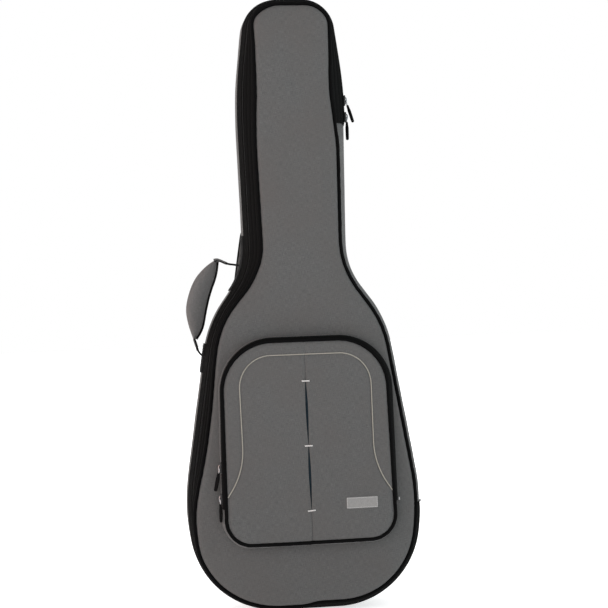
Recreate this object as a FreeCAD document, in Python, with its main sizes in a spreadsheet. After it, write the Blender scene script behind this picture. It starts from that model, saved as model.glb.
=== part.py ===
import FreeCAD, Part
import math
import os
import re

import Sketcher

# Padded gig bag for a large acoustic guitar, standing upright.
# X runs across the bag, Y runs through its depth (the front faces -Y), Z points up.
# The origin is the middle of the flat base, under the middle of the depth.

SIZES = {
    # half of the widest outline, at mid depth: corners of a polygon and the radius of each
    "floor_z": 0,
    "base_x": 187,
    "base_radius": 154,
    "bout_x": 216,
    "bout_z": 193,
    "bout_radius": 380,
    "hip_x": 163,
    "hip_z": 517,
    "hip_radius": 200,
    "waist_x": 93,
    "waist_z": 616,
    "waist_radius": 124,
    "head_x": 99,
    "head_z": 927,
    "head_radius": 860,
    "crown_x": 77,
    "bag_height": 1100,
    "crown_radius": 62,
    # depth and wall build-up
    "half_depth": 80,
    "cover": 1,
    "panel_foam": 14,
    "wall_foam": 12,
    "lining": 0.8,
    "front_inset": 21,
    "back_inset": 15,
    "foam_margin": 2,
    "piping": 4.4,
    "piping_gap": 0.8,
    # side wall: depth of each ring of the wall and how far it lies inside the widest outline
    "rim_y": 75,
    "rim_inset": 19,
    "lid_coil_y": 56,
    "lid_coil_inset": 8,
    "split_y": 52.4,
    "split_inset": 6.8,
    "zip_gap": 0.6,
    "tape_y": 49.4,
    "tape_inset": 6.2,
    "seam_y": 30,
    "seam_inset": 2,
    "full_front_y": 5,
    "full_back_y": 20,
    "flank_y": 50,
    "flank_inset": 4,
    "back_y": 76,
    "back_wall_inset": 15.4,
    "coil": 2,
    "wall_foam_front_y": 46,
    "wall_foam_back_y": 64,
    "wall_foam_front_inset": 5.6,
    "wall_foam_back_inset": 10.6,
    # fabric hinge down the right side
    "hinge_low_z": 190,
    "hinge_high_z": 925,
    "fit_gap": 0.3,
    # pocket on the lid
    "pocket_low_x": 158,
    "pocket_low_z": 122,
    "pocket_low_radius": 52,
    "pocket_top_x": 153,
    "pocket_top_z": 492,
    "pocket_top_radius": 80,
    "pocket_zip_low_z": 195,
    "pocket_gusset_y": 94,
    "pocket_coil_y": 96.5,
    "pocket_tape_y": 106.5,
    "pocket_face_y": 110,
    "pocket_slope": 2,
    "pocket_face_inset": 5.5,
    "pocket_wall": 1.4,
    "pocket_lining": 0.6,
    "trim_x": 116,
    "trim_top_z": 461,
    "trim_radius": 44,
    "trim_bend_z": 262,
    "trim_bend_radius": 60,
    "trim_foot_x": 178,
    "trim_foot_z": 165,
    "trim_foot_radius": 8,
    "trim_end_z": 90,
    "trim_end_radius": 4,
    "trim_width": 3.2,
    "trim_height": 1.5,
    "pleat_gap": 1,
    "pleat_width": 16,
    "bartack_length": 11,
    "bartack_width": 2.6,
    "bartack_height": 0.8,
    "bartack_low_z": 186,
    "bartack_step": 114,
    "label_width": 56,
    "label_height": 20,
    "label_x": 62,
    "label_z": 186,
    "label_thickness": 0.8,
    # zip sliders and pullers
    "slider_length": 20,
    "slider_width": 9,
    "slider_thickness": 3,
    "bridge_length": 11,
    "bridge_width": 3,
    "bridge_height": 3.4,
    "bridge_bar": 1.3,
    "puller_width": 7,
    "puller_length": 44,
    "puller_bar": 1.2,
    "puller_eye_width": 4.2,
    "puller_eye_length": 7,
    "puller_grip_drop": 12,
    "puller_grip_thickness": 1.8,
    "slider_clearance": 0.5,
    "main_slider_clearance": 1.5,
    "main_slider_upper_z": 912,
    "main_slider_lower_z": 882,
    "pocket_slider_upper_z": 267,
    "pocket_slider_lower_z": 213,
    "stop_size": 5,
    "zip_stop_x": 205.2,
    "upper_puller_lean": 17,
    "pocket_puller_lean": 12,
    # carrying handle on the left side
    "handle_top_x": 117,
    "handle_top_z": 626,
    "handle_chord": 172,
    "handle_tilt": 20.8,
    "grip_thickness": 26,
    "grip_start": 6,
    "grip_end": 150,
    "grip_inner": 17,
    "grip_outer": 57,
    "grip_outer_radius": 42,
    "grip_corner_radius": 5,
    "grip_shell": 3,
    "handle_piping": 3,
    "handle_piping_gap": 0.2,
    "handle_piping_margin": 12,
    "handle_leg_start": 5.5,
    "leg_gap": 2,
    "handle_webbing_width": 25,
    "handle_webbing_thickness": 3.4,
    "anchor_width": 40,
    "anchor_height": 40,
    "anchor_gap": 5.5,
    "anchor_reach_upper": 12,
    "anchor_reach_lower": 6.6,
    # rucksack straps on the back
    "strap_top_x": 44,
    "strap_top_z": 752,
    "strap_low_x": 112,
    "strap_low_z": 300,
    "strap_y": 86,
    "strap_pad_width": 62,
    "strap_pad_thickness": 10,
    "strap_webbing_width": 25,
    "strap_webbing_thickness": 1.6,
    "strap_bulge": 46,
    "strap_start_share": 0.62,
    "strap_end_share": 0.82,
    "strap_crest_from": 0.32,
    "strap_crest_to": 0.66,
    "strap_pad_start": 50,
    "strap_pad_end": 300,
    "buckle_width": 36,
    "buckle_length": 30,
    "buckle_thickness": 5,
    "buckle_gap": 0.5,
    "buckle_place": 0.3,
    "patch_width": 136,
    "patch_height": 96,
    "patch_low_z": 694,
    "patch_thickness": 1.5,
    "tab_width": 46,
    "tab_height": 44,
    # hanging loop
    "loop_top_z": 1048,
    "loop_length": 62,
    "loop_width": 44,
    "loop_band": 10,
    "loop_thickness": 2,
    "loop_y": 81,
    # inside fittings
    "cradle_low_z": 800,
    "cradle_height": 60,
    "cradle_half_width": 62,
    "cradle_front_y": 20,
    "cradle_notch_half_width": 32,
    "cradle_notch_y": 50,
    "flap_low_z": 811,
    "flap_height": 38,
    "flap_thickness": 2,
    "flap_gap": 0.4,
    "hook_patch_width": 26,
    "hook_patch_thickness": 0.6,
    "end_pad_width": 96,
    "end_pad_depth": 50,
    "end_pad_height": 8,
    "end_pad_z": 16.8,
    "head_pad_half_width": 46,
    "head_pad_low_z": 950,
    "head_pad_height": 90,
    "head_pad_thickness": 6,
}

doc = FreeCAD.newDocument("padded_gig_bag")
sheet = doc.addObject("Spreadsheet::Sheet", "sizes")
for row, (alias, value) in enumerate(SIZES.items(), start=1):
    sheet.set(f"A{row}", alias)
    sheet.set(f"B{row}", str(value))
    sheet.setAlias(f"B{row}", alias)
doc.recompute()

parts = []


def cell(text):
    """Turns names of sizes into references to the sheet's cells."""
    return re.sub(r"[a-z]\w*", r"sizes.\g<0>", text)


def number(text):
    """Value of a sum or product of sizes."""
    return float(sheet.evalExpression(cell(text)))


def bind(thing, **texts):
    """Binds properties to the sheet; a double underscore stands for a dot."""
    for name, text in texts.items():
        thing.setExpression(name.replace("__", "."), cell(text))


def keep(thing, label):
    """Marks an object as a sub-part under its node name."""
    thing.Label = label
    parts.append(thing)
    return thing


# ---- outlines -------------------------------------------------------------

BAG_HALF = [
    ("base_x", "floor_z", "base_radius"),
    ("bout_x", "bout_z", "bout_radius"),
    ("hip_x", "hip_z", "hip_radius"),
    ("waist_x", "waist_z", "waist_radius"),
    ("head_x", "head_z", "head_radius"),
    ("crown_x", "bag_height", "crown_radius"),
]
POCKET_HALF = [
    ("pocket_low_x", "pocket_low_z", "pocket_low_radius"),
    ("pocket_top_x", "pocket_top_z", "pocket_top_radius"),
]
TRIM_HALF = [
    ("trim_foot_x", "trim_end_z", "trim_end_radius"),
    ("trim_foot_x", "trim_foot_z", "trim_foot_radius"),
    ("trim_x", "trim_bend_z", "trim_bend_radius"),
    ("trim_x", "trim_top_z", "trim_radius"),
]


def mirrored(half):
    """Whole outline, counter-clockwise, from its right half."""
    return half + [("-" + x, z, radius) for x, z, radius in reversed(half)]


def add_outline(sketch, corners, inset="0"):
    """Draws a rounded polygon, or its parallel curve at a distance inside it.

    Every corner of the polygon is a dimensioned point. The sides run at the inset from
    those points, and each rounding is tangent to its two sides.
    """
    depth = number(inset)
    spots = [FreeCAD.Vector(number(x), number(z), 0) for x, z, radius in corners]
    count = len(spots)
    base = len(sketch.Geometry)
    ways = [(spots[(i + 1) % count] - spots[i]).normalize() for i in range(count)]
    rounds = []
    for i, (x, z, radius) in enumerate(corners):
        came, goes = ways[i - 1], ways[i]
        convex = came.cross(goes).z > 0
        inward_came = FreeCAD.Vector(-came.y, came.x, 0)
        inward_goes = FreeCAD.Vector(-goes.y, goes.x, 0)
        corner = spots[i] + (inward_came + inward_goes) * (depth / (1 + came.dot(goes)))
        text = f"{radius} {'-' if convex else '+'} ({inset})"
        size = number(text)
        reach = size * math.tan(came.getAngle(goes) / 2)
        side = 1 if convex else -1
        start = corner - came * reach
        rounds.append((start, corner + goes * reach, start + inward_came * (size * side), size, convex, text))
    geometry = []
    for i in range(count):
        geometry.append(Part.LineSegment(rounds[i][1], rounds[(i + 1) % count][0]))
    for start, end, centre, size, convex, text in rounds:
        first, last = (start, end) if convex else (end, start)
        first, last = first - centre, last - centre
        circle = Part.Circle(centre, FreeCAD.Vector(0, 0, 1), size)
        geometry.append(Part.ArcOfCircle(circle, math.atan2(first.y, first.x), math.atan2(last.y, last.x)))
    sketch.addGeometry(geometry, False)
    sketch.addGeometry([Part.Point(spot) for spot in spots], True)
    made = len(sketch.Constraints)
    rules = []
    bound = []
    for i, (x, z, radius) in enumerate(corners):
        line, before = base + i, base + (i - 1) % count
        arc, point = base + count + i, base + 2 * count + i
        start, end = (1, 2) if rounds[i][4] else (2, 1)
        rules.append(Sketcher.Constraint("Tangent", before, 2, arc, start))
        rules.append(Sketcher.Constraint("Tangent", arc, end, line, 1))
        for side in (before, line):
            if depth:
                bound.append((made + len(rules), inset))
                rules.append(Sketcher.Constraint("Distance", point, 1, side, depth))
            else:
                rules.append(Sketcher.Constraint("PointOnObject", point, 1, side))
        for kind, text, target in (
            ("DistanceX", x, (point, 1)),
            ("DistanceY", z, (point, 1)),
            ("Radius", rounds[i][5], (arc,)),
        ):
            bound.append((made + len(rules), text))
            rules.append(Sketcher.Constraint(kind, *target, number(text)))
    sketch.addConstraint(rules)
    for index, text in bound:
        sketch.setExpression(f"Constraints[{index}]", cell(text))


def add_polygon(sketch, points):
    """Draws a closed polygon of straight sides, each corner dimensioned."""
    base = len(sketch.Geometry)
    spots = [FreeCAD.Vector(number(x), number(y), 0) for x, y in points]
    count = len(spots)
    sketch.addGeometry([Part.LineSegment(spots[i], spots[(i + 1) % count]) for i in range(count)], False)
    made = len(sketch.Constraints)
    rules = []
    bound = []
    for i, (x, y) in enumerate(points):
        rules.append(Sketcher.Constraint("Coincident", base + (i - 1) % count, 2, base + i, 1))
        for kind, text in (("DistanceX", x), ("DistanceY", y)):
            bound.append((made + len(rules), text))
            rules.append(Sketcher.Constraint(kind, base + i, 1, number(text)))
    sketch.addConstraint(rules)
    for index, text in bound:
        sketch.setExpression(f"Constraints[{index}]", cell(text))


def rectangle(x_low, x_high, y_low, y_high):
    """Corner points of a rectangle."""
    return [(x_low, y_low), (x_high, y_low), (x_high, y_high), (x_low, y_high)]


# ---- ways of making a piece ----------------------------------------------


def new_body(name):
    return doc.addObject("PartDesign::Body", name)


def sketch_in(body, role, offset="0"):
    """New sketch on one of the body's origin planes, moved along the plane's normal."""
    sketch = body.newObject("Sketcher::SketchObject", body.Name + "_sketch")
    plane = [feature for feature in body.Origin.OriginFeatures if feature.Role == role][0]
    sketch.AttachmentSupport = [(plane, "")]
    sketch.MapMode = "FlatFace"
    bind(sketch, AttachmentOffset__Base__z=offset)
    return sketch


def pad(body, sketch, length, midplane=False):
    """Pads a sketch along its normal, or half each way."""
    feature = body.newObject("PartDesign::Pad", body.Name + "_pad")
    feature.Profile = sketch
    feature.Midplane = midplane
    bind(feature, Length=length)
    sketch.Visibility = False
    return feature


def layer(label, corners, inset, low_y, thickness, hole_inset=None):
    """A flat sheet of one outline, or a ring between two parallel outlines.

    low_y is the face nearest the front; the sketch lies on the other face.
    """
    body = new_body(label)
    sketch = sketch_in(body, "XZ_Plane", f"-({low_y}) - ({thickness})")
    add_outline(sketch, corners, inset)
    if hole_inset:
        add_outline(sketch, corners, hole_inset)
    pad(body, sketch, thickness)
    return body


def block(name, x_low, y_low, z_low, x_size, y_size, z_size):
    """A box from its low corner and its sizes."""
    box = doc.addObject("Part::Box", name)
    bind(box, Length=x_size, Width=y_size, Height=z_size)
    bind(box, Placement__Base__x=x_low, Placement__Base__y=y_low, Placement__Base__z=z_low)
    return box


def cut(name, base, tool):
    feature = doc.addObject("Part::Cut", name)
    feature.Base = base
    feature.Tool = tool
    return feature


def common(name, base, tool):
    feature = doc.addObject("Part::Common", name)
    feature.Base = base
    feature.Tool = tool
    return feature


sections = {}


def section(corners, inset, depth_y):
    """Free sketch of a parallel outline at one depth, made once for each place."""
    key = (corners[0][0], inset, depth_y)
    if key not in sections:
        sketch = doc.addObject("Sketcher::SketchObject", "section")
        turn = FreeCAD.Rotation(FreeCAD.Vector(1, 0, 0), 90)
        sketch.Placement = FreeCAD.Placement(FreeCAD.Vector(0, number(depth_y), 0), turn)
        bind(sketch, Placement__Base__y=depth_y)
        add_outline(sketch, corners, inset)
        sections[key] = sketch
    return sections[key]


def loft(name, corners, stations, extra="0"):
    """Solid through parallel outlines, one at each (depth, inset) station."""
    feature = doc.addObject("Part::Loft", name)
    feature.Sections = [section(corners, f"{inset} + {extra}", depth_y) for depth_y, inset in stations]
    feature.Solid = True
    feature.Ruled = True
    return feature


def wall(name, corners, stations, thickness, start="0"):
    """Ring-shaped wall between two lofts, start and start + thickness inside the stations."""
    outer = loft(name + "_outer", corners, stations, start)
    inner = loft(name + "_inner", corners, stations, f"{start} + {thickness}")
    return cut(name, outer, inner)


# ---- padded panels, linings and piping ------------------------------------

BAG = mirrored(BAG_HALF)
POCKET = mirrored(POCKET_HALF)
TRIM = mirrored(TRIM_HALF)


def make_panels():
    """Front and back panels: cover, foam and lining, edged with piping."""
    foam_face = "half_depth - cover - panel_foam"
    keep(layer("front_cover", BAG, "front_inset", "-half_depth", "cover"), "front_cover")
    inset = "front_inset + foam_margin"
    keep(layer("front_foam", BAG, inset, "-half_depth + cover", "panel_foam"), "front_foam")
    keep(layer("front_lining", BAG, inset, f"-({foam_face})", "lining"), "front_lining")
    keep(layer("back_cover", BAG, "back_inset", "half_depth - cover", "cover"), "back_cover")
    inset = "back_inset + foam_margin"
    keep(layer("back_foam", BAG, inset, foam_face, "panel_foam"), "back_foam")
    keep(layer("back_lining", BAG, inset, f"{foam_face} - lining", "lining"), "back_lining")
    for label, inset, low_y in (
        ("front_piping", "front_inset - piping_gap", "-half_depth + piping_gap / 2"),
        ("back_piping", "back_inset - piping_gap", "half_depth - piping_gap / 2 - piping"),
    ):
        keep(layer(label, BAG, f"{inset} - piping", low_y, "piping", inset), label)


def make_walls():
    """Side wall of the bag: zip bands on both halves, cover, foam and lining."""
    def hinge_zone(name, gap):
        return block(
            name, "floor_z", "-half_depth", f"hinge_low_z + {gap}",
            "bout_x + bout_x", "half_depth + half_depth", f"hinge_high_z - hinge_low_z - 2 * {gap}",
        )

    rings = {
        "front_zip_tape": ([("-rim_y", "rim_inset"), ("-lid_coil_y", "lid_coil_inset")], "cover"),
        "front_zip_coil": ([("-lid_coil_y", "lid_coil_inset"), ("-split_y - zip_gap", "split_inset")], "coil"),
        "rear_zip_coil": ([("-split_y", "split_inset"), ("-tape_y", "tape_inset")], "coil"),
        "rear_zip_tape": ([("-tape_y", "tape_inset"), ("-seam_y", "seam_inset")], "cover"),
    }
    for label, (stations, thickness) in rings.items():
        ring = wall(label + "_ring", BAG, stations, thickness)
        keep(cut(label, ring, hinge_zone(label + "_zone", "0")), label)
    stations = [("-rim_y", "rim_inset"), ("-split_y", "split_inset"), ("-seam_y", "seam_inset")]
    ring = wall("hinge_gusset_ring", BAG, stations, "cover")
    keep(common("hinge_gusset", ring, hinge_zone("hinge_gusset_zone", "fit_gap")), "hinge_gusset")

    stations = [
        ("-seam_y", "seam_inset"),
        ("-full_front_y", "floor_z"),
        ("full_back_y", "floor_z"),
        ("flank_y", "flank_inset"),
        ("back_y", "back_wall_inset"),
    ]
    keep(wall("gusset_cover", BAG, stations, "cover"), "gusset_cover")
    stations = [
        ("-wall_foam_front_y", "wall_foam_front_inset + lining"),
        ("-seam_y", "seam_inset + lining"),
        ("-full_front_y", "floor_z"),
        ("full_back_y", "floor_z"),
        ("flank_y", "flank_inset"),
        ("wall_foam_back_y", "wall_foam_back_inset"),
    ]
    keep(wall("gusset_foam", BAG, stations, "wall_foam", "cover"), "gusset_foam")
    keep(wall("gusset_lining", BAG, stations, "lining", "cover + wall_foam"), "gusset_lining")


# ---- pocket ----------------------------------------------------------------


def make_pocket():
    """Pocket on the lid: zipped band, fold at its foot, and the panel that swings out."""
    def zone(name, low, high):
        return block(
            name, "-pocket_low_x - trim_x", "-pocket_face_y - coil", low,
            "2 * pocket_low_x + 2 * trim_x", "pocket_face_y", f"{high} - ({low})",
        )

    root = "-half_depth - fit_gap"
    bands = {
        "pocket_gusset": ([(root, "floor_z"), ("-pocket_gusset_y", "pocket_slope")], "pocket_wall"),
        "pocket_zip_coil": (
            [("-pocket_gusset_y", "pocket_slope"), ("-pocket_coil_y", "pocket_slope + fit_gap")], "coil"),
        "pocket_zip_tape": (
            [("-pocket_coil_y - zip_gap", "pocket_slope + fit_gap"), ("-pocket_tape_y", "2 * pocket_slope")],
            "pocket_wall"),
    }
    for label, (stations, thickness) in bands.items():
        ring = wall(label + "_ring", POCKET, stations, thickness)
        tool = zone(label + "_zone", "pocket_zip_low_z", "bag_height")
        keep(common(label, ring, tool), label)
    ring = wall(
        "pocket_fold_ring", POCKET, [(root, "floor_z"), ("-pocket_tape_y", "2 * pocket_slope")], "pocket_wall")
    tool = zone("pocket_fold_zone", "floor_z", "pocket_zip_low_z - fit_gap")
    keep(common("pocket_lower_fold", ring, tool), "pocket_lower_fold")

    lining_y = "-pocket_tape_y - pocket_lining"
    keep(layer("pocket_lining", POCKET, "pocket_face_inset", lining_y, "pocket_lining"), "pocket_lining")
    thickness = "pocket_face_y - pocket_tape_y - pocket_lining"
    panels = [
        layer(f"pocket_face_{index}", POCKET, "pocket_face_inset", "-pocket_face_y", thickness)
        for index in range(3)
    ]
    inside = layer("trim_inside", TRIM, "floor_z", "-pocket_face_y - coil", "piping + coil")
    keep(cut("pocket_border", panels[0], inside), "pocket_border")
    for label, panel, x_low in (
        ("pocket_centre_left", panels[1], "-pocket_low_x - pleat_gap / 2"),
        ("pocket_centre_right", panels[2], "pleat_gap / 2"),
    ):
        side = block(
            label + "_side", x_low, "-pocket_face_y - coil", "floor_z", "pocket_low_x", "half_depth", "bag_height")
        area = layer(label + "_area", TRIM, "fit_gap / 3", "-pocket_face_y - coil", "piping + coil")
        keep(common(label, common(label + "_half", panel, side), area), label)

    strip = layer("trim_strip", TRIM, "floor_z", "-pocket_face_y - trim_height", "trim_height", "trim_width")
    bounds = layer("trim_bounds", POCKET, "pocket_face_inset", "-pocket_face_y - coil", "piping")
    keep(common("trim_piping", strip, bounds), "trim_piping")

    tacks = [
        block(
            f"bartack_{index}", "-bartack_length / 2", "-pocket_face_y - bartack_height",
            f"bartack_low_z + {index} * bartack_step", "bartack_length", "bartack_height", "bartack_width",
        )
        for index in range(3)
    ]
    group = doc.addObject("Part::Compound", "bartacks")
    group.Links = tacks
    keep(group, "bartacks")
    keep(
        block(
            "label_patch", "label_x", "-pocket_face_y - label_thickness", "label_z",
            "label_width", "label_thickness", "label_height",
        ),
        "label_patch",
    )


# ---- zip sliders -----------------------------------------------------------


def outline_x(z_text):
    """Half width of the widest outline at a height on the straight neck side."""
    height = number(z_text)
    edge = section(BAG, "floor_z + 0", "-full_front_y").Shape
    line = Part.makeLine(FreeCAD.Vector(0, -number("full_front_y"), height),
                         FreeCAD.Vector(number("bout_x") * 2, -number("full_front_y"), height))
    return edge.distToShape(line)[1][0][0].x


def make_slider(label, place):
    """Slider plate with the raised bridge that carries its puller. Local +X faces outwards."""
    body = new_body(label)
    plate = sketch_in(body, "YZ_Plane")
    add_polygon(plate, rectangle(
        "-slider_width / 2", "slider_width / 2", "-slider_length / 2", "slider_length / 2"))
    pad(body, plate, "slider_thickness")
    bridge = sketch_in(body, "XZ_Plane")
    top = "slider_thickness + bridge_height"
    add_polygon(bridge, [
        ("slider_thickness", "-bridge_length / 2"),
        (top, "-bridge_length / 2"),
        (top, "bridge_length / 2"),
        ("slider_thickness", "bridge_length / 2"),
        ("slider_thickness", "bridge_length / 2 - bridge_bar"),
        (f"{top} - bridge_bar", "bridge_length / 2 - bridge_bar"),
        (f"{top} - bridge_bar", "-bridge_length / 2 + bridge_bar"),
        ("slider_thickness", "-bridge_length / 2 + bridge_bar"),
    ])
    pad(body, bridge, "bridge_width", midplane=True)
    body.Placement = place
    return keep(body, label)


def make_puller(label, place, lean):
    """Puller: a plate with an eye round the slider's bridge, and a thicker grip below.

    It hangs from the bridge, and leans outwards where it rests on the slider below it.
    """
    body = new_body(label)
    middle = "slider_thickness + (bridge_height - bridge_bar) / 2"
    plate = sketch_in(body, "YZ_Plane", f"{middle} - puller_bar / 2")
    half = "puller_width / 2"
    add_polygon(plate, rectangle(f"-{half}", half, "puller_bar / 2 - puller_length", "puller_bar / 2"))
    eye = "puller_eye_width / 2"
    add_polygon(plate, rectangle(f"-{eye}", eye, "-puller_bar / 2 - puller_eye_length", "-puller_bar / 2"))
    pad(body, plate, "puller_bar")
    grip = sketch_in(body, "YZ_Plane", f"{middle} + puller_bar / 2")
    add_polygon(grip, rectangle(
        f"-{half}", half, "puller_bar / 2 - puller_length", "puller_bar / 2 - puller_grip_drop"))
    pad(body, grip, "puller_grip_thickness")
    pivot = FreeCAD.Vector(number(middle), 0, 0)
    turn = FreeCAD.Rotation(FreeCAD.Vector(0, 1, 0), -lean)
    body.Placement = place.multiply(FreeCAD.Placement(FreeCAD.Vector(), turn, pivot))
    return keep(body, label)


def make_zip_hardware():
    """Two sliders on each zip, each with its puller, and the stops at the zip ends."""
    upright = FreeCAD.Rotation()
    turned = FreeCAD.Rotation(FreeCAD.Vector(0, 0, 1), 180)
    main_y = -number("split_y + zip_gap / 2")
    pocket_y = -number("pocket_coil_y + zip_gap / 2")
    for which, lean in (("upper", number("upper_puller_lean")), ("lower", 0)):
        height = number(f"main_slider_{which}_z")
        side = outline_x(f"main_slider_{which}_z") - number("split_inset - main_slider_clearance")
        place = FreeCAD.Placement(FreeCAD.Vector(side, main_y, height), upright)
        make_slider(f"main_slider_{which}", place)
        make_puller(f"main_puller_{which}", place, lean)
    for which, lean in (("upper", number("pocket_puller_lean")), ("lower", 0)):
        height = number(f"pocket_slider_{which}_z")
        rise = (height - number("pocket_low_z")) / number("pocket_top_z - pocket_low_z")
        side = number("pocket_low_x") + rise * number("pocket_top_x - pocket_low_x")
        side -= number("pocket_slope - slider_clearance")
        place = FreeCAD.Placement(FreeCAD.Vector(-side, pocket_y, height), turned)
        make_slider(f"pocket_slider_{which}", place)
        make_puller(f"pocket_puller_{which}", place, lean)


# ---- carrying handle -------------------------------------------------------


def handle_place():
    """Where the handle's chord lies. Local +X points out of the bag, and -Z down the chord."""
    turn = FreeCAD.Rotation(FreeCAD.Vector(0, 0, 1), 180)
    tilt = FreeCAD.Rotation(FreeCAD.Vector(0, 1, 0), -number("handle_tilt"))
    return FreeCAD.Placement(
        FreeCAD.Vector(-number("handle_top_x"), 0, number("handle_top_z")), turn.multiply(tilt))


def make_handle():
    """Padded crescent grip on two webbing legs."""
    place = handle_place()

    def grip(name, shrink):
        body = new_body(name)
        sketch = sketch_in(body, "XZ_Plane")
        add_outline(sketch, [
            ("grip_inner", "-grip_end", "grip_corner_radius"),
            ("grip_outer - grip_corner_radius", "-grip_end + grip_outer_radius / 2", "grip_outer_radius"),
            ("grip_outer", "-grip_start - grip_outer_radius / 2", "grip_outer_radius"),
            ("grip_inner + grip_corner_radius", "-grip_start", "grip_corner_radius"),
        ], shrink)
        pad(body, sketch, f"grip_thickness - 2 * {shrink}", midplane=True)
        return body

    cover = cut("handle_grip_cover", grip("grip_outside", "0"), grip("grip_inside", "grip_shell"))
    core = grip("handle_core", "grip_shell")
    piping = new_body("handle_piping")
    sketch = sketch_in(piping, "XZ_Plane")
    add_polygon(sketch, rectangle(
        "grip_inner - handle_piping - handle_piping_gap", "grip_inner - handle_piping_gap",
        "-grip_end + handle_piping_margin", "-grip_start - handle_piping_margin"))
    pad(piping, sketch, "handle_piping", midplane=True)

    legs = []
    for name, low, high in (
        ("handle_leg_top", "-grip_start + leg_gap", "-grip_start + leg_gap + handle_webbing_thickness"),
        ("handle_leg_low", "-grip_end - leg_gap - handle_webbing_thickness", "-grip_end - leg_gap"),
    ):
        leg = new_body(name)
        sketch = sketch_in(leg, "XZ_Plane")
        add_polygon(sketch, rectangle("handle_leg_start", "grip_outer - grip_inner", low, high))
        pad(leg, sketch, "handle_webbing_width", midplane=True)
        legs.append(leg)
    webbing = doc.addObject("Part::Compound", "handle_webbing")
    webbing.Links = legs
    for thing, label in (
        (cover, "handle_grip_cover"),
        (core, "handle_core"),
        (piping, "handle_piping"),
        (webbing, "handle_webbing"),
    ):
        thing.Placement = place
        keep(thing, label)


# ---- back of the bag -------------------------------------------------------


def make_anchors():
    """Webbing anchors of the handle on the side wall, and patches under the straps."""
    for label, chord_z, reach in (
        ("handle_anchor_upper", "-anchor_height / 2 + handle_webbing_width / 4", "anchor_reach_upper"),
        ("handle_anchor_lower", "-handle_chord - anchor_height / 2", "anchor_reach_lower"),
    ):
        body = new_body(label)
        sketch = sketch_in(body, "XZ_Plane")
        add_polygon(sketch, rectangle(
            f"-{reach}", "-anchor_gap", chord_z, f"{chord_z} + anchor_height / 2"))
        pad(body, sketch, "anchor_width", midplane=True)
        body.Placement = handle_place()
        keep(body, label)
    back = "half_depth + fit_gap"
    keep(
        block("harness_patch", "-patch_width / 2", back, "patch_low_z", "patch_width", "patch_thickness",
              "patch_height"),
        "harness_patch",
    )
    for label, middle in (("strap_tab_left", "-strap_low_x"), ("strap_tab_right", "strap_low_x")):
        keep(
            block(label, f"{middle} - tab_width / 2", back, "strap_low_z - tab_height / 2", "tab_width",
                  "patch_thickness", "tab_height"),
            label,
        )


def strap_path():
    """Corners of a strap's line: distance from its chord, and distance down the chord."""
    chord = math.hypot(number("strap_low_x - strap_top_x"), number("strap_top_z - strap_low_z"))
    bulge = number("strap_bulge")
    first = number("strap_webbing_thickness")
    start = number("strap_pad_start")
    end = number("strap_pad_end")
    return [
        (first, 0),
        (bulge * number("strap_start_share"), -start),
        (bulge, -start - (end - start) * number("strap_crest_from")),
        (bulge, -start - (end - start) * number("strap_crest_to")),
        (bulge * number("strap_end_share"), -end),
        (first, -chord),
    ]


def band(path, low, high, width):
    """Strip between two mitred parallels of a path, low and high outside it, of one width."""
    spots = [FreeCAD.Vector(0, y, z) for y, z in path]
    ways = [(b - a).normalize() for a, b in zip(spots, spots[1:])]
    normals = [FreeCAD.Vector(0, -way.z, way.y) for way in ways]
    sides = []
    for offset in (low, high):
        side = []
        for i, spot in enumerate(spots):
            before = normals[max(i - 1, 0)]
            after = normals[min(i, len(normals) - 1)]
            side.append(spot + (before + after) * (offset / (1 + before.dot(after))))
        sides.append(side)
    ring = sides[0] + sides[1][::-1]
    face = Part.Face(Part.makePolygon(ring + ring[:1]))
    return face.translated(FreeCAD.Vector(-width / 2, 0, 0)).extrude(FreeCAD.Vector(width, 0, 0))


def make_straps():
    """Two padded straps, each with its webbing and a sliding adjuster. Local +Y faces away from the back."""
    run_x = number("strap_low_x - strap_top_x")
    lean = math.degrees(math.atan2(run_x, number("strap_top_z - strap_low_z")))
    path = strap_path()
    gap = number("fit_gap")
    for side, sign in (("left", -1), ("right", 1)):
        place = FreeCAD.Placement(
            FreeCAD.Vector(sign * number("strap_top_x"), number("strap_y"), number("strap_top_z")),
            FreeCAD.Rotation(FreeCAD.Vector(0, 1, 0), -sign * lean),
        )
        pad_shape = band(path[1:-1], -number("strap_pad_thickness") - gap, -gap, number("strap_pad_width"))
        webbing = band(path, 0, number("strap_webbing_thickness"), number("strap_webbing_width"))
        for label, shape in ((f"strap_pad_{side}", pad_shape), (f"strap_webbing_{side}", webbing)):
            feature = doc.addObject("Part::Feature", label)
            feature.Shape = shape
            feature.Placement = place
            keep(feature, label)
        make_buckle(f"strap_adjuster_{side}", path, place)


def make_buckle(label, path, strap_place):
    """Adjuster: a flat frame with a slot for the webbing, on the strap's straight lower run."""
    frame_box = block(
        label + "_frame", "-buckle_width / 2", "-buckle_thickness / 2", "-buckle_length / 2",
        "buckle_width", "buckle_thickness", "buckle_length")
    slot = block(
        label + "_slot", "-strap_webbing_width / 2 - buckle_gap", "-strap_webbing_thickness / 2 - buckle_gap",
        "-buckle_length", "strap_webbing_width + 2 * buckle_gap",
        "strap_webbing_thickness + 2 * buckle_gap", "2 * buckle_length")
    feature = cut(label, frame_box, slot)
    (high_y, high_z), (low_y, low_z) = path[-2], path[-1]
    share = number("buckle_place")
    along = math.degrees(math.atan2(high_y - low_y, high_z - low_z))
    turn = FreeCAD.Rotation(FreeCAD.Vector(1, 0, 0), -along)
    middle = FreeCAD.Vector(0, low_y + (high_y - low_y) * share, low_z + (high_z - low_z) * share)
    middle += turn.multVec(FreeCAD.Vector(0, number("strap_webbing_thickness") / 2, 0))
    feature.Placement = strap_place.multiply(FreeCAD.Placement(middle, turn))
    keep(feature, label)


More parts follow.
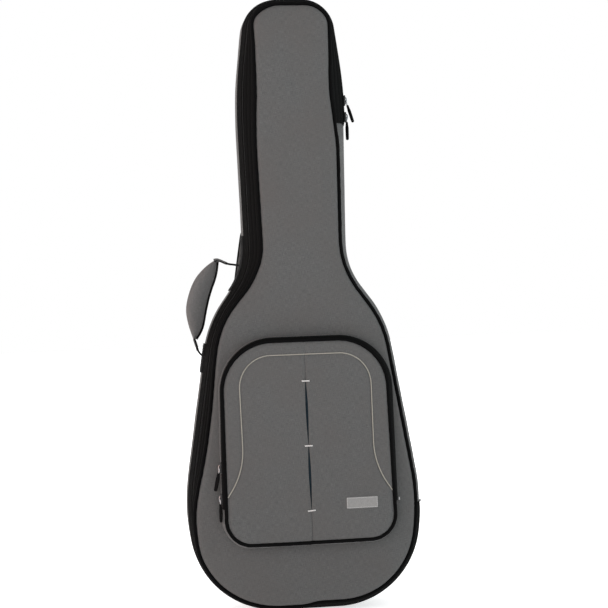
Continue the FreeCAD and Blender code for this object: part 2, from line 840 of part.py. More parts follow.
def make_hang_loop():
    """Webbing loop that hangs down the back of the headstock."""
    outer = block("loop_outer", "-loop_width / 2", "loop_y", "loop_top_z - loop_length", "loop_width",
                  "loop_thickness", "loop_length")
    inner = block("loop_inner", "-loop_width / 2 + loop_band", "loop_y - loop_thickness",
                  "loop_top_z - loop_length + loop_band", "loop_width - 2 * loop_band",
                  "3 * loop_thickness", "loop_length")
    keep(cut("hang_loop", outer, inner), "hang_loop")


# ---- inside fittings -------------------------------------------------------


def make_inside():
    """Neck cradle with its strap, and the two extra pads at the ends of the guitar."""
    foam_face = "half_depth - cover - panel_foam - lining - fit_gap"
    body = new_body("neck_cradle")
    sketch = sketch_in(body, "XY_Plane", "cradle_low_z")
    add_polygon(sketch, [
        ("-cradle_half_width", "cradle_front_y"),
        ("-cradle_notch_half_width", "cradle_front_y"),
        ("-cradle_notch_half_width", "cradle_notch_y"),
        ("cradle_notch_half_width", "cradle_notch_y"),
        ("cradle_notch_half_width", "cradle_front_y"),
        ("cradle_half_width", "cradle_front_y"),
        ("cradle_half_width", foam_face),
        ("-cradle_half_width", foam_face),
    ])
    pad(body, sketch, "cradle_height")
    keep(body, "neck_cradle")
    front = "cradle_front_y - fit_gap - hook_patch_thickness"
    keep(
        block("neck_strap_patch", "cradle_half_width - hook_patch_width", front, "flap_low_z",
              "hook_patch_width", "hook_patch_thickness", "flap_height"),
        "neck_strap_patch",
    )
    keep(
        block("neck_strap_flap", "-cradle_half_width + flap_gap", f"{front} - flap_gap - flap_thickness",
              "flap_low_z", "2 * cradle_half_width - 2 * flap_gap", "flap_thickness", "flap_height"),
        "neck_strap_flap",
    )
    keep(
        block("end_pin_pad", "-end_pad_width / 2", "-end_pad_depth / 2", "end_pad_z", "end_pad_width",
              "end_pad_depth", "end_pad_height"),
        "end_pin_pad",
    )
    keep(
        block("headstock_pad", "-head_pad_half_width", f"{foam_face} - head_pad_thickness", "head_pad_low_z",
              "2 * head_pad_half_width", "head_pad_thickness", "head_pad_height"),
        "headstock_pad",
    )
    keep(
        block("zip_end_stop", "zip_stop_x", "-split_y - stop_size / 2", "hinge_low_z - stop_size - fit_gap",
              "stop_size / 2", "stop_size", "stop_size"),
        "zip_end_stop",
    )
    side = "pocket_low_x + slider_clearance"
    keep(
        block("pocket_end_stop", side, "-pocket_coil_y + fit_gap", "pocket_zip_low_z",
              "stop_size / 2", "stop_size / 2", "stop_size"),
        "pocket_end_stop",
    )


# ---- finish ----------------------------------------------------------------


def check_and_write():
    """Checks every object and writes each sub-part to its own file."""
    doc.recompute()
    for thing in doc.Objects:
        if "Invalid" in thing.State or "Error" in thing.State:
            raise RuntimeError(f"{thing.Label} did not compute: {thing.State}")
    os.makedirs("parts", exist_ok=True)
    for thing in parts:
        shape = thing.Shape
        if shape.isNull() or not shape.isValid():
            raise RuntimeError(f"{thing.Label} has no valid shape")
        shape.exportStep(f"parts/{thing.Label}.step")
        box = shape.BoundBox
        print(
            f"{thing.Label:22s} {shape.Volume / 1000:9.2f} cm3 {len(shape.Solids)} solid(s)"
            f"  x {box.XMin:.1f} {box.XMax:.1f}  y {box.YMin:.1f} {box.YMax:.1f}  z {box.ZMin:.1f} {box.ZMax:.1f}"
        )


make_panels()
make_walls()
make_pocket()
doc.recompute()
make_zip_hardware()
make_handle()
make_anchors()
make_straps()
make_hang_loop()
make_inside()
check_and_write()
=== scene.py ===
import math

import bmesh
import bpy
import numpy as np
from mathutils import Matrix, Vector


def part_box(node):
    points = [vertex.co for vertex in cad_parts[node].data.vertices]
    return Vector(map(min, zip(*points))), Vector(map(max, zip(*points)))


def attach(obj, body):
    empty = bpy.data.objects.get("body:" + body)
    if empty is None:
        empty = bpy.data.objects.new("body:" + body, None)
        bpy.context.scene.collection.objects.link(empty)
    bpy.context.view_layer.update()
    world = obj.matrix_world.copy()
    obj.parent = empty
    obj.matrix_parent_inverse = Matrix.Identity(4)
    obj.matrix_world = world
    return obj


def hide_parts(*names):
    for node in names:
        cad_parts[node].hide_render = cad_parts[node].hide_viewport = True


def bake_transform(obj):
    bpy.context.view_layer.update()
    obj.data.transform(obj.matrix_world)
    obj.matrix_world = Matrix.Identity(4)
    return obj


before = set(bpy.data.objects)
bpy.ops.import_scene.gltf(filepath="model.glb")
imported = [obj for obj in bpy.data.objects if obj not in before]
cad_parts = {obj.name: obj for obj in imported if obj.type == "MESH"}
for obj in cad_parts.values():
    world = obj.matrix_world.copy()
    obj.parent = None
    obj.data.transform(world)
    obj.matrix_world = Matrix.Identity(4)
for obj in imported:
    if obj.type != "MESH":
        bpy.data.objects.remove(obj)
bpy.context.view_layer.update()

# Padded gig bag, standing upright with its front towards -Y.
# Sizes here are millimetres; makePiece turns them into metres.
mm = 0.001
print("frame loaded:", len(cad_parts), "nodes")


# Camera: a long lens at half height, a little to the left of the bag's front, turned with the bag's lean.
cameraSetup = {
    "distance": 3.0,
    "aim": (0.0146, 0.0, 0.549),
    "azimuth": -8.0,
    "elevation": 0.0,
    "roll": 2.05,
    "frameWidth": 1.109,  # metres across the image at the bag
    "sensor": 36.0,
}


def makeCamera():
    side, up = math.radians(cameraSetup["azimuth"]), math.radians(cameraSetup["elevation"])
    back = np.array([math.sin(side) * math.cos(up), -math.cos(side) * math.cos(up), math.sin(up)])
    data = bpy.data.cameras.new("camera")
    data.sensor_width = cameraSetup["sensor"]
    data.lens = cameraSetup["sensor"] * cameraSetup["distance"] / cameraSetup["frameWidth"]
    camera = bpy.data.objects.new("camera", data)
    camera.location = np.array(cameraSetup["aim"]) + back * cameraSetup["distance"]
    camera.rotation_mode = "XYZ"
    camera.rotation_euler = (math.radians(90) - up, math.radians(cameraSetup["roll"]), side)
    bpy.context.scene.collection.objects.link(camera)
    bpy.context.scene.camera = camera


makeCamera()
print("camera placed")


# Node helpers: values are set on sockets, and a socket given as a value is linked.
def addNode(tree, kind, inputs=None, **settings):
    made = tree.nodes.new(kind)
    for key, value in settings.items():
        setattr(made, key, value)
    for key, value in (inputs or {}).items():
        if isinstance(value, bpy.types.NodeSocket):
            tree.links.new(value, made.inputs[key])
        else:
            made.inputs[key].default_value = value
    return made


def maths(tree, operation, first, second=0.0, third=0.0):
    return addNode(tree, "ShaderNodeMath", {0: first, 1: second, 2: third}, operation=operation).outputs[0]


def mixed(tree, share, first, second, kind="RGBA"):
    place = {"RGBA": (6, 7, 2), "FLOAT": (2, 3, 0)}[kind]
    made = addNode(tree, "ShaderNodeMix", {0: share, place[0]: first, place[1]: second}, data_type=kind)
    return made.outputs[place[2]]


def newGroup(name, inputs, outputs):
    tree = bpy.data.node_groups.new(name, "ShaderNodeTree")
    for label, kind in inputs.items():
        tree.interface.new_socket(label, in_out="INPUT", socket_type=kind)
    for label, kind in outputs.items():
        tree.interface.new_socket(label, in_out="OUTPUT", socket_type=kind)
    entry = tree.nodes.new("NodeGroupInput").outputs
    return tree, entry, tree.nodes.new("NodeGroupOutput").inputs


# Plain weave: warp and weft are rounded ridges, |sin| of the thread count, and the parity of the two
# counts says which is on top. Streaks that run along the threads give the heathered colour.
def buildWeaveGroup():
    tree, entry, leave = newGroup(
        "plainWeave",
        {"Vector": "NodeSocketVector", "Threads": "NodeSocketFloat", "Dark": "NodeSocketColor",
         "Light": "NodeSocketColor", "Tint": "NodeSocketColor", "Heather": "NodeSocketFloat"},
        {"Color": "NodeSocketColor", "Height": "NodeSocketFloat", "Roughness": "NodeSocketFloat"},
    )
    scaled = addNode(
        tree, "ShaderNodeVectorMath", {0: entry["Vector"], 3: entry["Threads"]}, operation="SCALE")
    split = addNode(tree, "ShaderNodeSeparateXYZ", {0: scaled.outputs[0]})
    warp = maths(tree, "ABSOLUTE", maths(tree, "SINE", maths(tree, "MULTIPLY", split.outputs[0], math.pi)))
    weft = maths(tree, "ABSOLUTE", maths(tree, "SINE", maths(tree, "MULTIPLY", split.outputs[1], math.pi)))
    count = maths(tree, "ADD", maths(tree, "FLOOR", split.outputs[0]), maths(tree, "FLOOR", split.outputs[1]))
    parity = maths(tree, "PINGPONG", count, 1.0)
    height = mixed(tree, parity, weft, warp, "FLOAT")
    streaks = []
    for stretch in ((1.0, 0.07, 0.4), (0.07, 1.0, 0.4)):
        drawn = addNode(tree, "ShaderNodeMapping", {"Vector": scaled.outputs[0], "Scale": stretch})
        noise = addNode(
            tree, "ShaderNodeTexNoise", {"Vector": drawn.outputs[0], "Scale": 0.9, "Detail": 2.0})
        streaks.append(noise.outputs["Fac"])
    streak = mixed(tree, parity, streaks[1], streaks[0], "FLOAT")
    contrast = maths(tree, "MULTIPLY_ADD", maths(tree, "SUBTRACT", streak, 0.5), entry["Heather"], 0.5)
    share = addNode(tree, "ShaderNodeClamp", {0: contrast}).outputs[0]
    base = mixed(tree, share, entry["Dark"], entry["Light"])
    cloud = addNode(
        tree, "ShaderNodeTexNoise", {"Vector": entry["Vector"], "Scale": 9.0, "Detail": 3.0}).outputs["Fac"]
    tone = addNode(tree, "ShaderNodeMapRange", {0: cloud, 1: 0.35, 2: 0.7, 3: 0.0, 4: 0.5}).outputs[0]
    tree.links.new(mixed(tree, tone, base, entry["Tint"]), leave["Color"])
    tree.links.new(height, leave["Height"])
    tree.links.new(maths(tree, "MULTIPLY_ADD", streak, 0.2, 0.72), leave["Roughness"])
    return tree


# Brushed pile: two sizes of noise, the fine one for the fibres and the broad one for flattened patches.
def buildPileGroup():
    tree, entry, leave = newGroup(
        "brushedPile",
        {"Vector": "NodeSocketVector", "Dark": "NodeSocketColor", "Light": "NodeSocketColor"},
        {"Color": "NodeSocketColor", "Height": "NodeSocketFloat"},
    )
    fibres = addNode(tree, "ShaderNodeTexNoise", {"Vector": entry["Vector"], "Scale": 1400.0, "Detail": 3.0})
    patches = addNode(tree, "ShaderNodeTexNoise", {"Vector": entry["Vector"], "Scale": 30.0, "Detail": 4.0})
    share = mixed(tree, 0.5, fibres.outputs["Fac"], patches.outputs["Fac"], "FLOAT")
    tree.links.new(mixed(tree, share, entry["Dark"], entry["Light"]), leave["Color"])
    tree.links.new(fibres.outputs["Fac"], leave["Height"])
    return tree


# Handled surface: fine grain, thin scratches along one way and brighter worn edges.
def buildHandledGroup():
    tree, entry, leave = newGroup(
        "handledSurface",
        {"Vector": "NodeSocketVector", "Base": "NodeSocketColor", "Worn": "NodeSocketColor",
         "Grain": "NodeSocketFloat", "Smooth": "NodeSocketFloat", "Rough": "NodeSocketFloat"},
        {"Color": "NodeSocketColor", "Height": "NodeSocketFloat", "Roughness": "NodeSocketFloat"},
    )
    grain = addNode(
        tree, "ShaderNodeTexNoise", {"Vector": entry["Vector"], "Scale": entry["Grain"], "Detail": 4.0})
    drawn = addNode(tree, "ShaderNodeMapping", {"Vector": entry["Vector"], "Scale": (900.0, 900.0, 60.0)})
    scratch = addNode(tree, "ShaderNodeTexNoise", {"Vector": drawn.outputs[0], "Scale": 1.0, "Detail": 2.0})
    edge = addNode(
        tree, "ShaderNodeMapRange",
        {0: addNode(tree, "ShaderNodeNewGeometry").outputs["Pointiness"], 1: 0.5, 2: 0.6, 3: 0.0, 4: 1.0})
    rubbed = maths(tree, "MULTIPLY", edge.outputs[0], grain.outputs["Fac"])
    tree.links.new(mixed(tree, rubbed, entry["Base"], entry["Worn"]), leave["Color"])
    tree.links.new(grain.outputs["Fac"], leave["Height"])
    rough = mixed(tree, scratch.outputs["Fac"], entry["Smooth"], entry["Rough"], "FLOAT")
    tree.links.new(rough, leave["Roughness"])
    return tree


weaveGroup, pileGroup, handledGroup = buildWeaveGroup(), buildPileGroup(), buildHandledGroup()


def newMaterial(name):
    material = bpy.data.materials.new(name)
    material.use_nodes = True
    tree = material.node_tree
    shader = tree.nodes["Principled BSDF"]
    return material, tree, shader, addNode(tree, "ShaderNodeTexCoord").outputs


def bumpInto(tree, shader, height, distance):
    bump = addNode(tree, "ShaderNodeBump", {"Height": height, "Distance": distance, "Strength": 1.0})
    tree.links.new(bump.outputs[0], shader.inputs["Normal"])


# A finish made by one group: its values and colours are set, and its outputs feed the shader.
def groupMaterial(name, group, place, settings, constants, bump):
    material, tree, shader, coords = newMaterial(name)
    made = addNode(tree, "ShaderNodeGroup", node_tree=group)
    tree.links.new(coords[place], made.inputs["Vector"])
    for key, value in settings.items():
        made.inputs[key].default_value = (*value, 1.0) if isinstance(value, tuple) else value
    tree.links.new(made.outputs["Color"], shader.inputs["Base Color"])
    if "Roughness" in made.outputs:
        tree.links.new(made.outputs["Roughness"], shader.inputs["Roughness"])
    for key, value in constants.items():
        shader.inputs[key].default_value = value
    bumpInto(tree, shader, made.outputs["Height"], bump)
    return material


# Woven cloth on the piece's own UV map, whose unit is the metre.
def clothMaterial(name, dark, light, tint, threads=1900.0, heather=3.0, bump=0.00012, sheen=0.12, gloss=0.12):
    settings = {"Dark": dark, "Light": light, "Tint": tint, "Threads": threads, "Heather": heather}
    constants = {"Sheen Weight": sheen, "Sheen Roughness": 0.5, "Specular IOR Level": gloss}
    return groupMaterial(name, weaveGroup, "UV", settings, constants, bump)


# Pile and handled surfaces read the place in space.
def pileMaterial(name, dark, light):
    constants = {"Roughness": 0.95, "Sheen Weight": 0.35, "Specular IOR Level": 0.1}
    return groupMaterial(name, pileGroup, "Object", {"Dark": dark, "Light": light}, constants, 0.0006)


def handledMaterial(name, base, worn, grain, smooth, rough, metal=0.0, gloss=0.2):
    settings = {"Base": base, "Worn": worn, "Grain": grain, "Smooth": smooth, "Rough": rough}
    constants = {"Metallic": metal, "Specular IOR Level": gloss}
    return groupMaterial(name, handledGroup, "Object", settings, constants, 0.00004)


shellFabric = clothMaterial(
    "shellFabric", (0.058, 0.059, 0.060), (0.118, 0.117, 0.115), (0.088, 0.081, 0.078))
gripFabric = clothMaterial(
    "gripFabric", (0.078, 0.080, 0.082), (0.160, 0.158, 0.156), (0.120, 0.110, 0.106))
zipTape = clothMaterial(
    "zipTape", (0.0010, 0.0010, 0.0010), (0.0040, 0.0040, 0.0040), (0.0022, 0.0019, 0.0017),
    1300.0, 2.0, 0.0002, 0.0, 0.1)
pipingBlack = clothMaterial(
    "pipingBlack", (0.0008, 0.0008, 0.0009), (0.0032, 0.0032, 0.0034), (0.0018, 0.0018, 0.0018),
    1600.0, 2.0, 0.00015, 0.0, 0.06)
blackWebbing = clothMaterial(
    "blackWebbing", (0.003, 0.003, 0.0032), (0.010, 0.010, 0.0105), (0.006, 0.0055, 0.005),
    620.0, 2.0, 0.0004, 0.0, 0.1)
greyWebbing = clothMaterial(
    "greyWebbing", (0.060, 0.061, 0.062), (0.130, 0.128, 0.126), (0.095, 0.088, 0.085), 620.0, 2.0, 0.0004)
trimCloth = clothMaterial(
    "trimCloth", (0.22, 0.21, 0.18), (0.36, 0.34, 0.30), (0.27, 0.25, 0.22), 1600.0, 2.0, 0.00012)
navyCloth = clothMaterial(
    "navyCloth", (0.012, 0.021, 0.030), (0.030, 0.048, 0.062), (0.018, 0.030, 0.040), 1900.0, 2.0)
threadLight = clothMaterial(
    "threadLight", (0.46, 0.45, 0.44), (0.66, 0.64, 0.63), (0.55, 0.53, 0.52), 3500.0, 1.5, 0.00006)
threadBlack = clothMaterial(
    "threadBlack", (0.010, 0.010, 0.010), (0.035, 0.035, 0.036), (0.02, 0.02, 0.02),
    3500.0, 1.5, 0.00006, 0.05, 0.3)
labelCloth = clothMaterial(
    "labelCloth", (0.16, 0.158, 0.155), (0.30, 0.295, 0.29), (0.23, 0.225, 0.22), 2600.0, 2.0, 0.00010)
plushLining = pileMaterial("plushLining", (0.035, 0.035, 0.037), (0.105, 0.103, 0.104))
hookTape = pileMaterial("hookTape", (0.008, 0.008, 0.008), (0.030, 0.030, 0.030))
satinZinc = handledMaterial("satinZinc", (0.34, 0.34, 0.36), (0.60, 0.59, 0.58), 700.0, 0.25, 0.45, 1.0)
coilNylon = handledMaterial("coilNylon", (0.003, 0.003, 0.0032), (0.012, 0.012, 0.012), 900.0, 0.45, 0.65)
enamelBlack = handledMaterial("enamelBlack", (0.006, 0.006, 0.006), (0.12, 0.12, 0.12), 900.0, 0.25, 0.45)
pullerRubber = handledMaterial(
    "pullerRubber", (0.002, 0.002, 0.0022), (0.008, 0.008, 0.008), 1200.0, 0.5, 0.75, gloss=0.05)
buckleAcetal = handledMaterial("buckleAcetal", (0.010, 0.010, 0.011), (0.05, 0.05, 0.05), 800.0, 0.3, 0.5)
print("materials built")


# Faces of a grid of points, and the UV of each face corner from the two running lengths.
def gridFaces(rows, cols, closeRows, closeCols):
    r = np.arange(rows if closeRows else rows - 1)[:, None]
    c = np.arange(cols if closeCols else cols - 1)[None, :]
    r2, c2 = (r + 1) % rows, (c + 1) % cols
    return np.stack([r * cols + c, r * cols + c2, r2 * cols + c2, r2 * cols + c], -1).reshape(-1, 4)


def gridUv(along, around):
    a, b = along[:-1, None], along[1:, None]
    c, d = around[None, :-1], around[None, 1:]
    corners = [np.broadcast_arrays(u, v) for u, v in ((a, c), (a, d), (b, d), (b, c))]
    return np.stack([np.stack(pair, -1) for pair in corners], 2).reshape(-1, 2)


def runningLength(points, closed):
    ends = np.concatenate([points, points[:1]]) if closed else points
    steps = np.linalg.norm(np.diff(ends, axis=0), axis=1)
    return np.concatenate([[0.0], np.cumsum(steps)])


# One mesh from points in millimetres; seams and poles are merged and the faces turned outwards.
def makePiece(
        name, points, faces, material, uv=None, body=None, slot=None, replaces=(), turn=True, bend=None):
    points = np.asarray(points, float).reshape(-1, 3)
    if bend:
        points = bend(points)
    mesh = bpy.data.meshes.new(name)
    mesh.from_pydata((points * mm).tolist(), [], [list(face) for face in faces])
    layer = mesh.uv_layers.new(name="UVMap")
    if uv is None:
        corner = np.zeros(len(mesh.loops), np.int32)
        mesh.loops.foreach_get("vertex_index", corner)
        uv = points[corner][:, [0, 2]]
    layer.data.foreach_set("uv", (np.asarray(uv) * mm).astype(np.float32).ravel())
    shape = bmesh.new()
    shape.from_mesh(mesh)
    bmesh.ops.remove_doubles(shape, verts=shape.verts, dist=2e-6)
    bmesh.ops.dissolve_degenerate(shape, edges=shape.edges, dist=1e-7)
    if turn:
        bmesh.ops.recalc_face_normals(shape, faces=shape.faces)
    shape.to_mesh(mesh)
    shape.free()
    mesh.shade_smooth()
    mesh.set_sharp_from_angle(angle=math.radians(50))
    mesh.materials.append(material)
    piece = bpy.data.objects.new(name, mesh)
    bpy.context.scene.collection.objects.link(piece)
    if body:
        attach(piece, body)
    if replaces:
        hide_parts(*replaces)
    return piece


# A grid (path, profile, 3) whose profile is a closed loop: a ring when the path closes, else capped.
def makeSweep(name, grid, closedPath, material, **tags):
    rows, cols = grid.shape[:2]
    faces = gridFaces(rows, cols, closedPath, True).tolist()
    along = runningLength(grid.mean(1), closedPath)
    around = runningLength(grid[rows // 2], True)
    uv = gridUv(along, around)
    if not closedPath:
        faces += [list(range(cols)), list(range((rows - 1) * cols, rows * cols))]
        caps = grid[[0, -1]].reshape(-1, 3)
        uv = np.concatenate([uv, caps[:, [1, 2]]])
    return makePiece(name, grid, faces, material, uv, **tags)


# Rounded polygon, mirrored left to right: each corner is an arc that touches its two sides, and a
# place is its length s from the middle of the base, counter-clockwise. Gives (place function, length).
def roundedOutline(half):
    corners = np.array(half + [(-x, z, radius) for x, z, radius in reversed(half)], float)
    spot, radius = corners[:, :2], corners[:, 2]
    goes = np.roll(spot, -1, 0) - spot
    goes /= np.linalg.norm(goes, axis=1)[:, None]
    came = np.roll(goes, 1, 0)
    turn = np.arctan2(came[:, 0] * goes[:, 1] - came[:, 1] * goes[:, 0], (came * goes).sum(1))
    reach = (radius * np.tan(abs(turn) / 2))[:, None]
    begin = np.stack([spot - came * reach, spot + goes * reach], 1).reshape(-1, 2)
    heading = np.stack([np.arctan2(came[:, 1], came[:, 0]), np.arctan2(goes[:, 1], goes[:, 0])], 1).ravel()
    curve = np.stack([np.sign(turn) / radius, 0 * radius], 1).ravel()
    sides = np.linalg.norm(np.roll(begin[0::2], -1, 0) - begin[1::2], axis=1)
    length = np.stack([radius * abs(turn), sides], 1).ravel()
    start = np.concatenate([[0.0], np.cumsum(length)])

    def place(s):
        s = (np.asarray(s, float) + start[-1] - sides[-1] / 2) % start[-1]
        k = np.clip(np.searchsorted(start, s, side="right") - 1, 0, len(length) - 1)
        bend = curve[k] * (s - start[k]) / 2
        chord = (s - start[k]) * np.sinc(bend / np.pi)
        ray = np.stack([np.cos(heading[k] + bend), np.sin(heading[k] + bend)], -1)
        angle = heading[k] + 2 * bend
        return begin[k] + chord[..., None] * ray, np.stack([np.sin(angle), -np.cos(angle)], -1)

    return place, start[-1]


# Length s of the right half's point at a height.
def lengthAt(outline, height):
    s = np.linspace(0, outline[1] / 2, 2000)
    return np.interp(height, outline[0](s)[0][:, 1], s)


# Half width of an outline, drawn an inset inside, at each height.
def halfWidth(outline, inset, heights):
    s = np.linspace(0, outline[1] / 2, 2000)
    point, normal = outline[0](s)
    point = point - normal * inset
    return np.interp(heights, point[:, 1], point[:, 0])


def lengthsAlong(outline, step, low=None, high=None):
    # the whole loop, or from one length to another, in even steps
    if low is None:
        count = int(round(outline[1] / step / 2)) * 2
        return np.arange(count) / count * outline[1]
    return np.linspace(low, high, int(round((high - low) / step)) + 1)


# A closed profile of (depth, inset) carried along an outline, each point its inset inside the outline.
def carryRound(outline, s, profile):
    point, normal = outline[0](s)
    profile = np.broadcast_to(profile, (len(s), *np.shape(profile)[-2:]))
    flat = point[:, None] - normal[:, None] * profile[..., 1:2]
    return np.stack([flat[..., 0], profile[..., 0], flat[..., 1]], -1)


# A closed profile of (across, outwards) carried along a 3-D path; outwards is path x across.
def carryPath(path, across, profile, closed=False):
    path, across = np.asarray(path, float), np.asarray(across, float)
    if closed:
        way = np.roll(path, -1, 0) - np.roll(path, 1, 0)
    else:
        way = np.gradient(path, axis=0)
    way /= np.linalg.norm(way, axis=1)[:, None]
    across = np.broadcast_to(across / np.linalg.norm(across), path.shape)
    outwards = np.cross(way, across)
    outwards /= np.linalg.norm(outwards, axis=1)[:, None]
    profile = np.broadcast_to(profile, (len(path), *np.shape(profile)[-2:]))
    return path[:, None] + across[:, None] * profile[..., :1] + outwards[:, None] * profile[..., 1:2]


# Circle or flattened loop: half sizes and a power below 1 that squares it off.
def roundProfile(halfAcross, halfOut, count=16, power=1.0):
    angle = np.arange(count) / count * 2 * np.pi
    x, y = np.cos(angle), np.sin(angle)
    shape = np.stack([np.sign(x) * abs(x) ** power, np.sign(y) * abs(y) ** power], -1)
    return shape * (halfAcross, halfOut)


# Smooth curve that starts and ends on the first and last corner and cuts inside the others.
def smoothCurve(corners, count):
    corners = np.asarray(corners, float)
    held = np.concatenate([corners[:1], corners, corners[-1:]])
    u = np.linspace(0, len(corners) - 1e-9, count)
    i, t = np.floor(u).astype(int), (u % 1)[:, None]
    blend = (1 - t) ** 2 / 2 * held[i] + (0.5 + t - t * t) * held[i + 1]
    curve = blend + t * t / 2 * held[np.minimum(i + 2, len(held) - 1)]
    along = runningLength(curve, False)
    even = np.linspace(0, along[-1], count)
    return readAlong(even, along, curve)


# Sum of sine waves in seeded directions, between about -1 and 1, for soft unevenness.
def softWaves(x, z, length, seed, waves=7):
    draw = np.random.default_rng(seed)
    angle = draw.uniform(0, 2 * np.pi, waves)
    reach = 2 * np.pi / (length * draw.uniform(0.6, 1.6, waves))
    phase = draw.uniform(0, 2 * np.pi, waves)
    total = 0.0
    for a, k, p in zip(angle, reach, phase):
        total = total + np.sin((x * math.cos(a) + z * math.sin(a)) * k + p)
    return total / waves


# Nearest distance from each 2-D point to a densely sampled line, a few thousand points at a time.
def distanceTo(points, line):
    flat = points.reshape(-1, 2)
    parts = np.array_split(flat, 1 + len(flat) // 2000)
    near = [np.sqrt(((part[:, None] - line) ** 2).sum(-1)).min(-1) for part in parts]
    return np.concatenate(near).reshape(points.shape[:-1])


# Columns of values, known at the lengths along, read at other lengths.
def readAlong(at, along, values):
    return np.stack([np.interp(at, along, column) for column in values.T], -1)


# One copy of a profile for each length, to be varied along the way.
def perStation(profile, s):
    return np.broadcast_to(profile, (len(s), *np.shape(profile))).copy()


acrossY = np.array([0.0, 1.0, 0.0])


# Lowest and highest corner of a CAD node, in millimetres.
def boxCorners(node):
    return [np.array(corner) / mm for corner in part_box(node)]


# Rings parallel to the outline follow a rim of (inset, height), then run to the spine, the stretch of
# the middle line between two heights. Gives positions in the outline's plane, and heights above it.
def slabGrid(outline, s, rim, spine, fill, shift=0.0):
    point, normal = outline[0](s)
    rim = np.asarray(rim, float)
    rings = point[:, None] - normal[:, None] * (rim[None, :, :1] + np.reshape(shift, (-1, 1, 1)))
    middle = np.stack([0 * point[:, 0], np.clip(point[:, 1], *spine)], -1)
    share = (np.arange(fill) + 1.0)[None, :, None] / fill
    front = rings[:, -1:] + (middle - rings[:, -1])[:, None] * share
    back = (rings[:, :1] + (middle - rings[:, 0])[:, None] * share)[:, ::-1]
    flat = np.concatenate([back, rings, front], 1)
    height = np.concatenate([np.full(fill, rim[0, 1]), rim[:, 1], np.full(fill, rim[-1, 1])])
    return flat, np.broadcast_to(height, flat.shape[:2]).copy()


def makeSlab(name, grid, material, **tags):
    rows, cols = grid.shape[:2]
    faces = gridFaces(rows, cols, True, False)
    return makePiece(name, grid, faces, material, **tags)


# Quarter of an ellipse from the side of a slab to its face, as rim points (inset, height).
def roundedRim(inset, height, width, rise, count=8):
    angle = np.linspace(0, np.pi / 2, count)
    return np.stack([inset + width * (1 - np.cos(angle)), height + rise * np.sin(angle)], -1)


# Small plate with rounded edges on both faces, in its own plane, then placed by origin and three axes.
def makePlate(name, outline, thickness, edge, material, origin, axes, step=0.8, spine=(0, 0), **tags):
    low = roundedRim(0, edge, edge, -edge, 4)[::-1]
    high = roundedRim(0, thickness - edge, edge, edge, 4)
    s = lengthsAlong(outline, step)
    flat, height = slabGrid(outline, s, np.concatenate([low, high]), spine, 3)
    local = np.concatenate([flat, height[..., None]], -1)
    return makeSlab(name, np.asarray(origin) + local @ np.asarray(axes, float), material, **tags)


# Short six-sided bars laid along a line, for stitches, zip teeth and thread: each has its own centre,
# its long axis, and a lift axis; ends are a little thinner than the middle.
def makeBars(name, centre, longWay, lift, length, width, height, material, **tags):
    centre, longWay, lift = (np.asarray(a, float) for a in (centre, longWay, lift))
    longWay = longWay / np.linalg.norm(longWay, axis=-1, keepdims=True)
    side = np.cross(longWay, lift)
    side /= np.linalg.norm(side, axis=-1, keepdims=True)
    up = np.cross(side, longWay)
    angle = np.arange(6) / 6 * 2 * np.pi
    ring = np.stack([np.cos(angle) * width / 2, np.sin(angle) * height / 2], -1)
    stations = [(-0.5, 0.55), (-0.3, 1.0), (0.3, 1.0), (0.5, 0.55)]
    rows = [
        centre[:, None] + longWay[:, None] * (length * t)
        + side[:, None] * (ring[:, :1] * k) + up[:, None] * (ring[:, 1:] * k)
        for t, k in stations
    ]
    points = np.stack(rows, 1)  # bars, stations, ring, 3
    one = gridFaces(4, 6, False, True).tolist() + [list(range(6)), list(range(18, 24))]
    faces = [[index + bar * 24 for index in face] for bar in range(len(centre)) for face in one]
    return makePiece(name, points, faces, material, **tags)


# Stitches along a polyline: evenly pitched bars, laid on the surface whose outward way is given.
def makeStitches(name, path, outwards, pitch, length, thickness, material, **tags):
    path = np.asarray(path, float)
    along = runningLength(path, False)
    at = np.arange(pitch / 2, along[-1], pitch)
    columns = (path, np.gradient(path, axis=0), np.broadcast_to(outwards, path.shape))
    centre, way, lift = (readAlong(at, along, values) for values in columns)
    makeBars(
        name, centre, way, lift, length, thickness, thickness * 0.8, material, slot="bartack_thread", **tags)


# Cloth step: held points stay, air pressure swells the rest, and no point moves further than the cap.
swellJobs = []
swellSetup = {"frames": 20, "quality": 4, "tension": 12.0, "bending": 3.0, "mass": 0.3}


def swellLater(piece, held, pressure, cap):
    swellJobs.append({"piece": piece, "held": held, "pressure": pressure, "cap": cap * mm})


def pointsOf(mesh):
    found = np.zeros(len(mesh.vertices) * 3, np.float32)
    mesh.vertices.foreach_get("co", found)
    return found.reshape(-1, 3).astype(float)


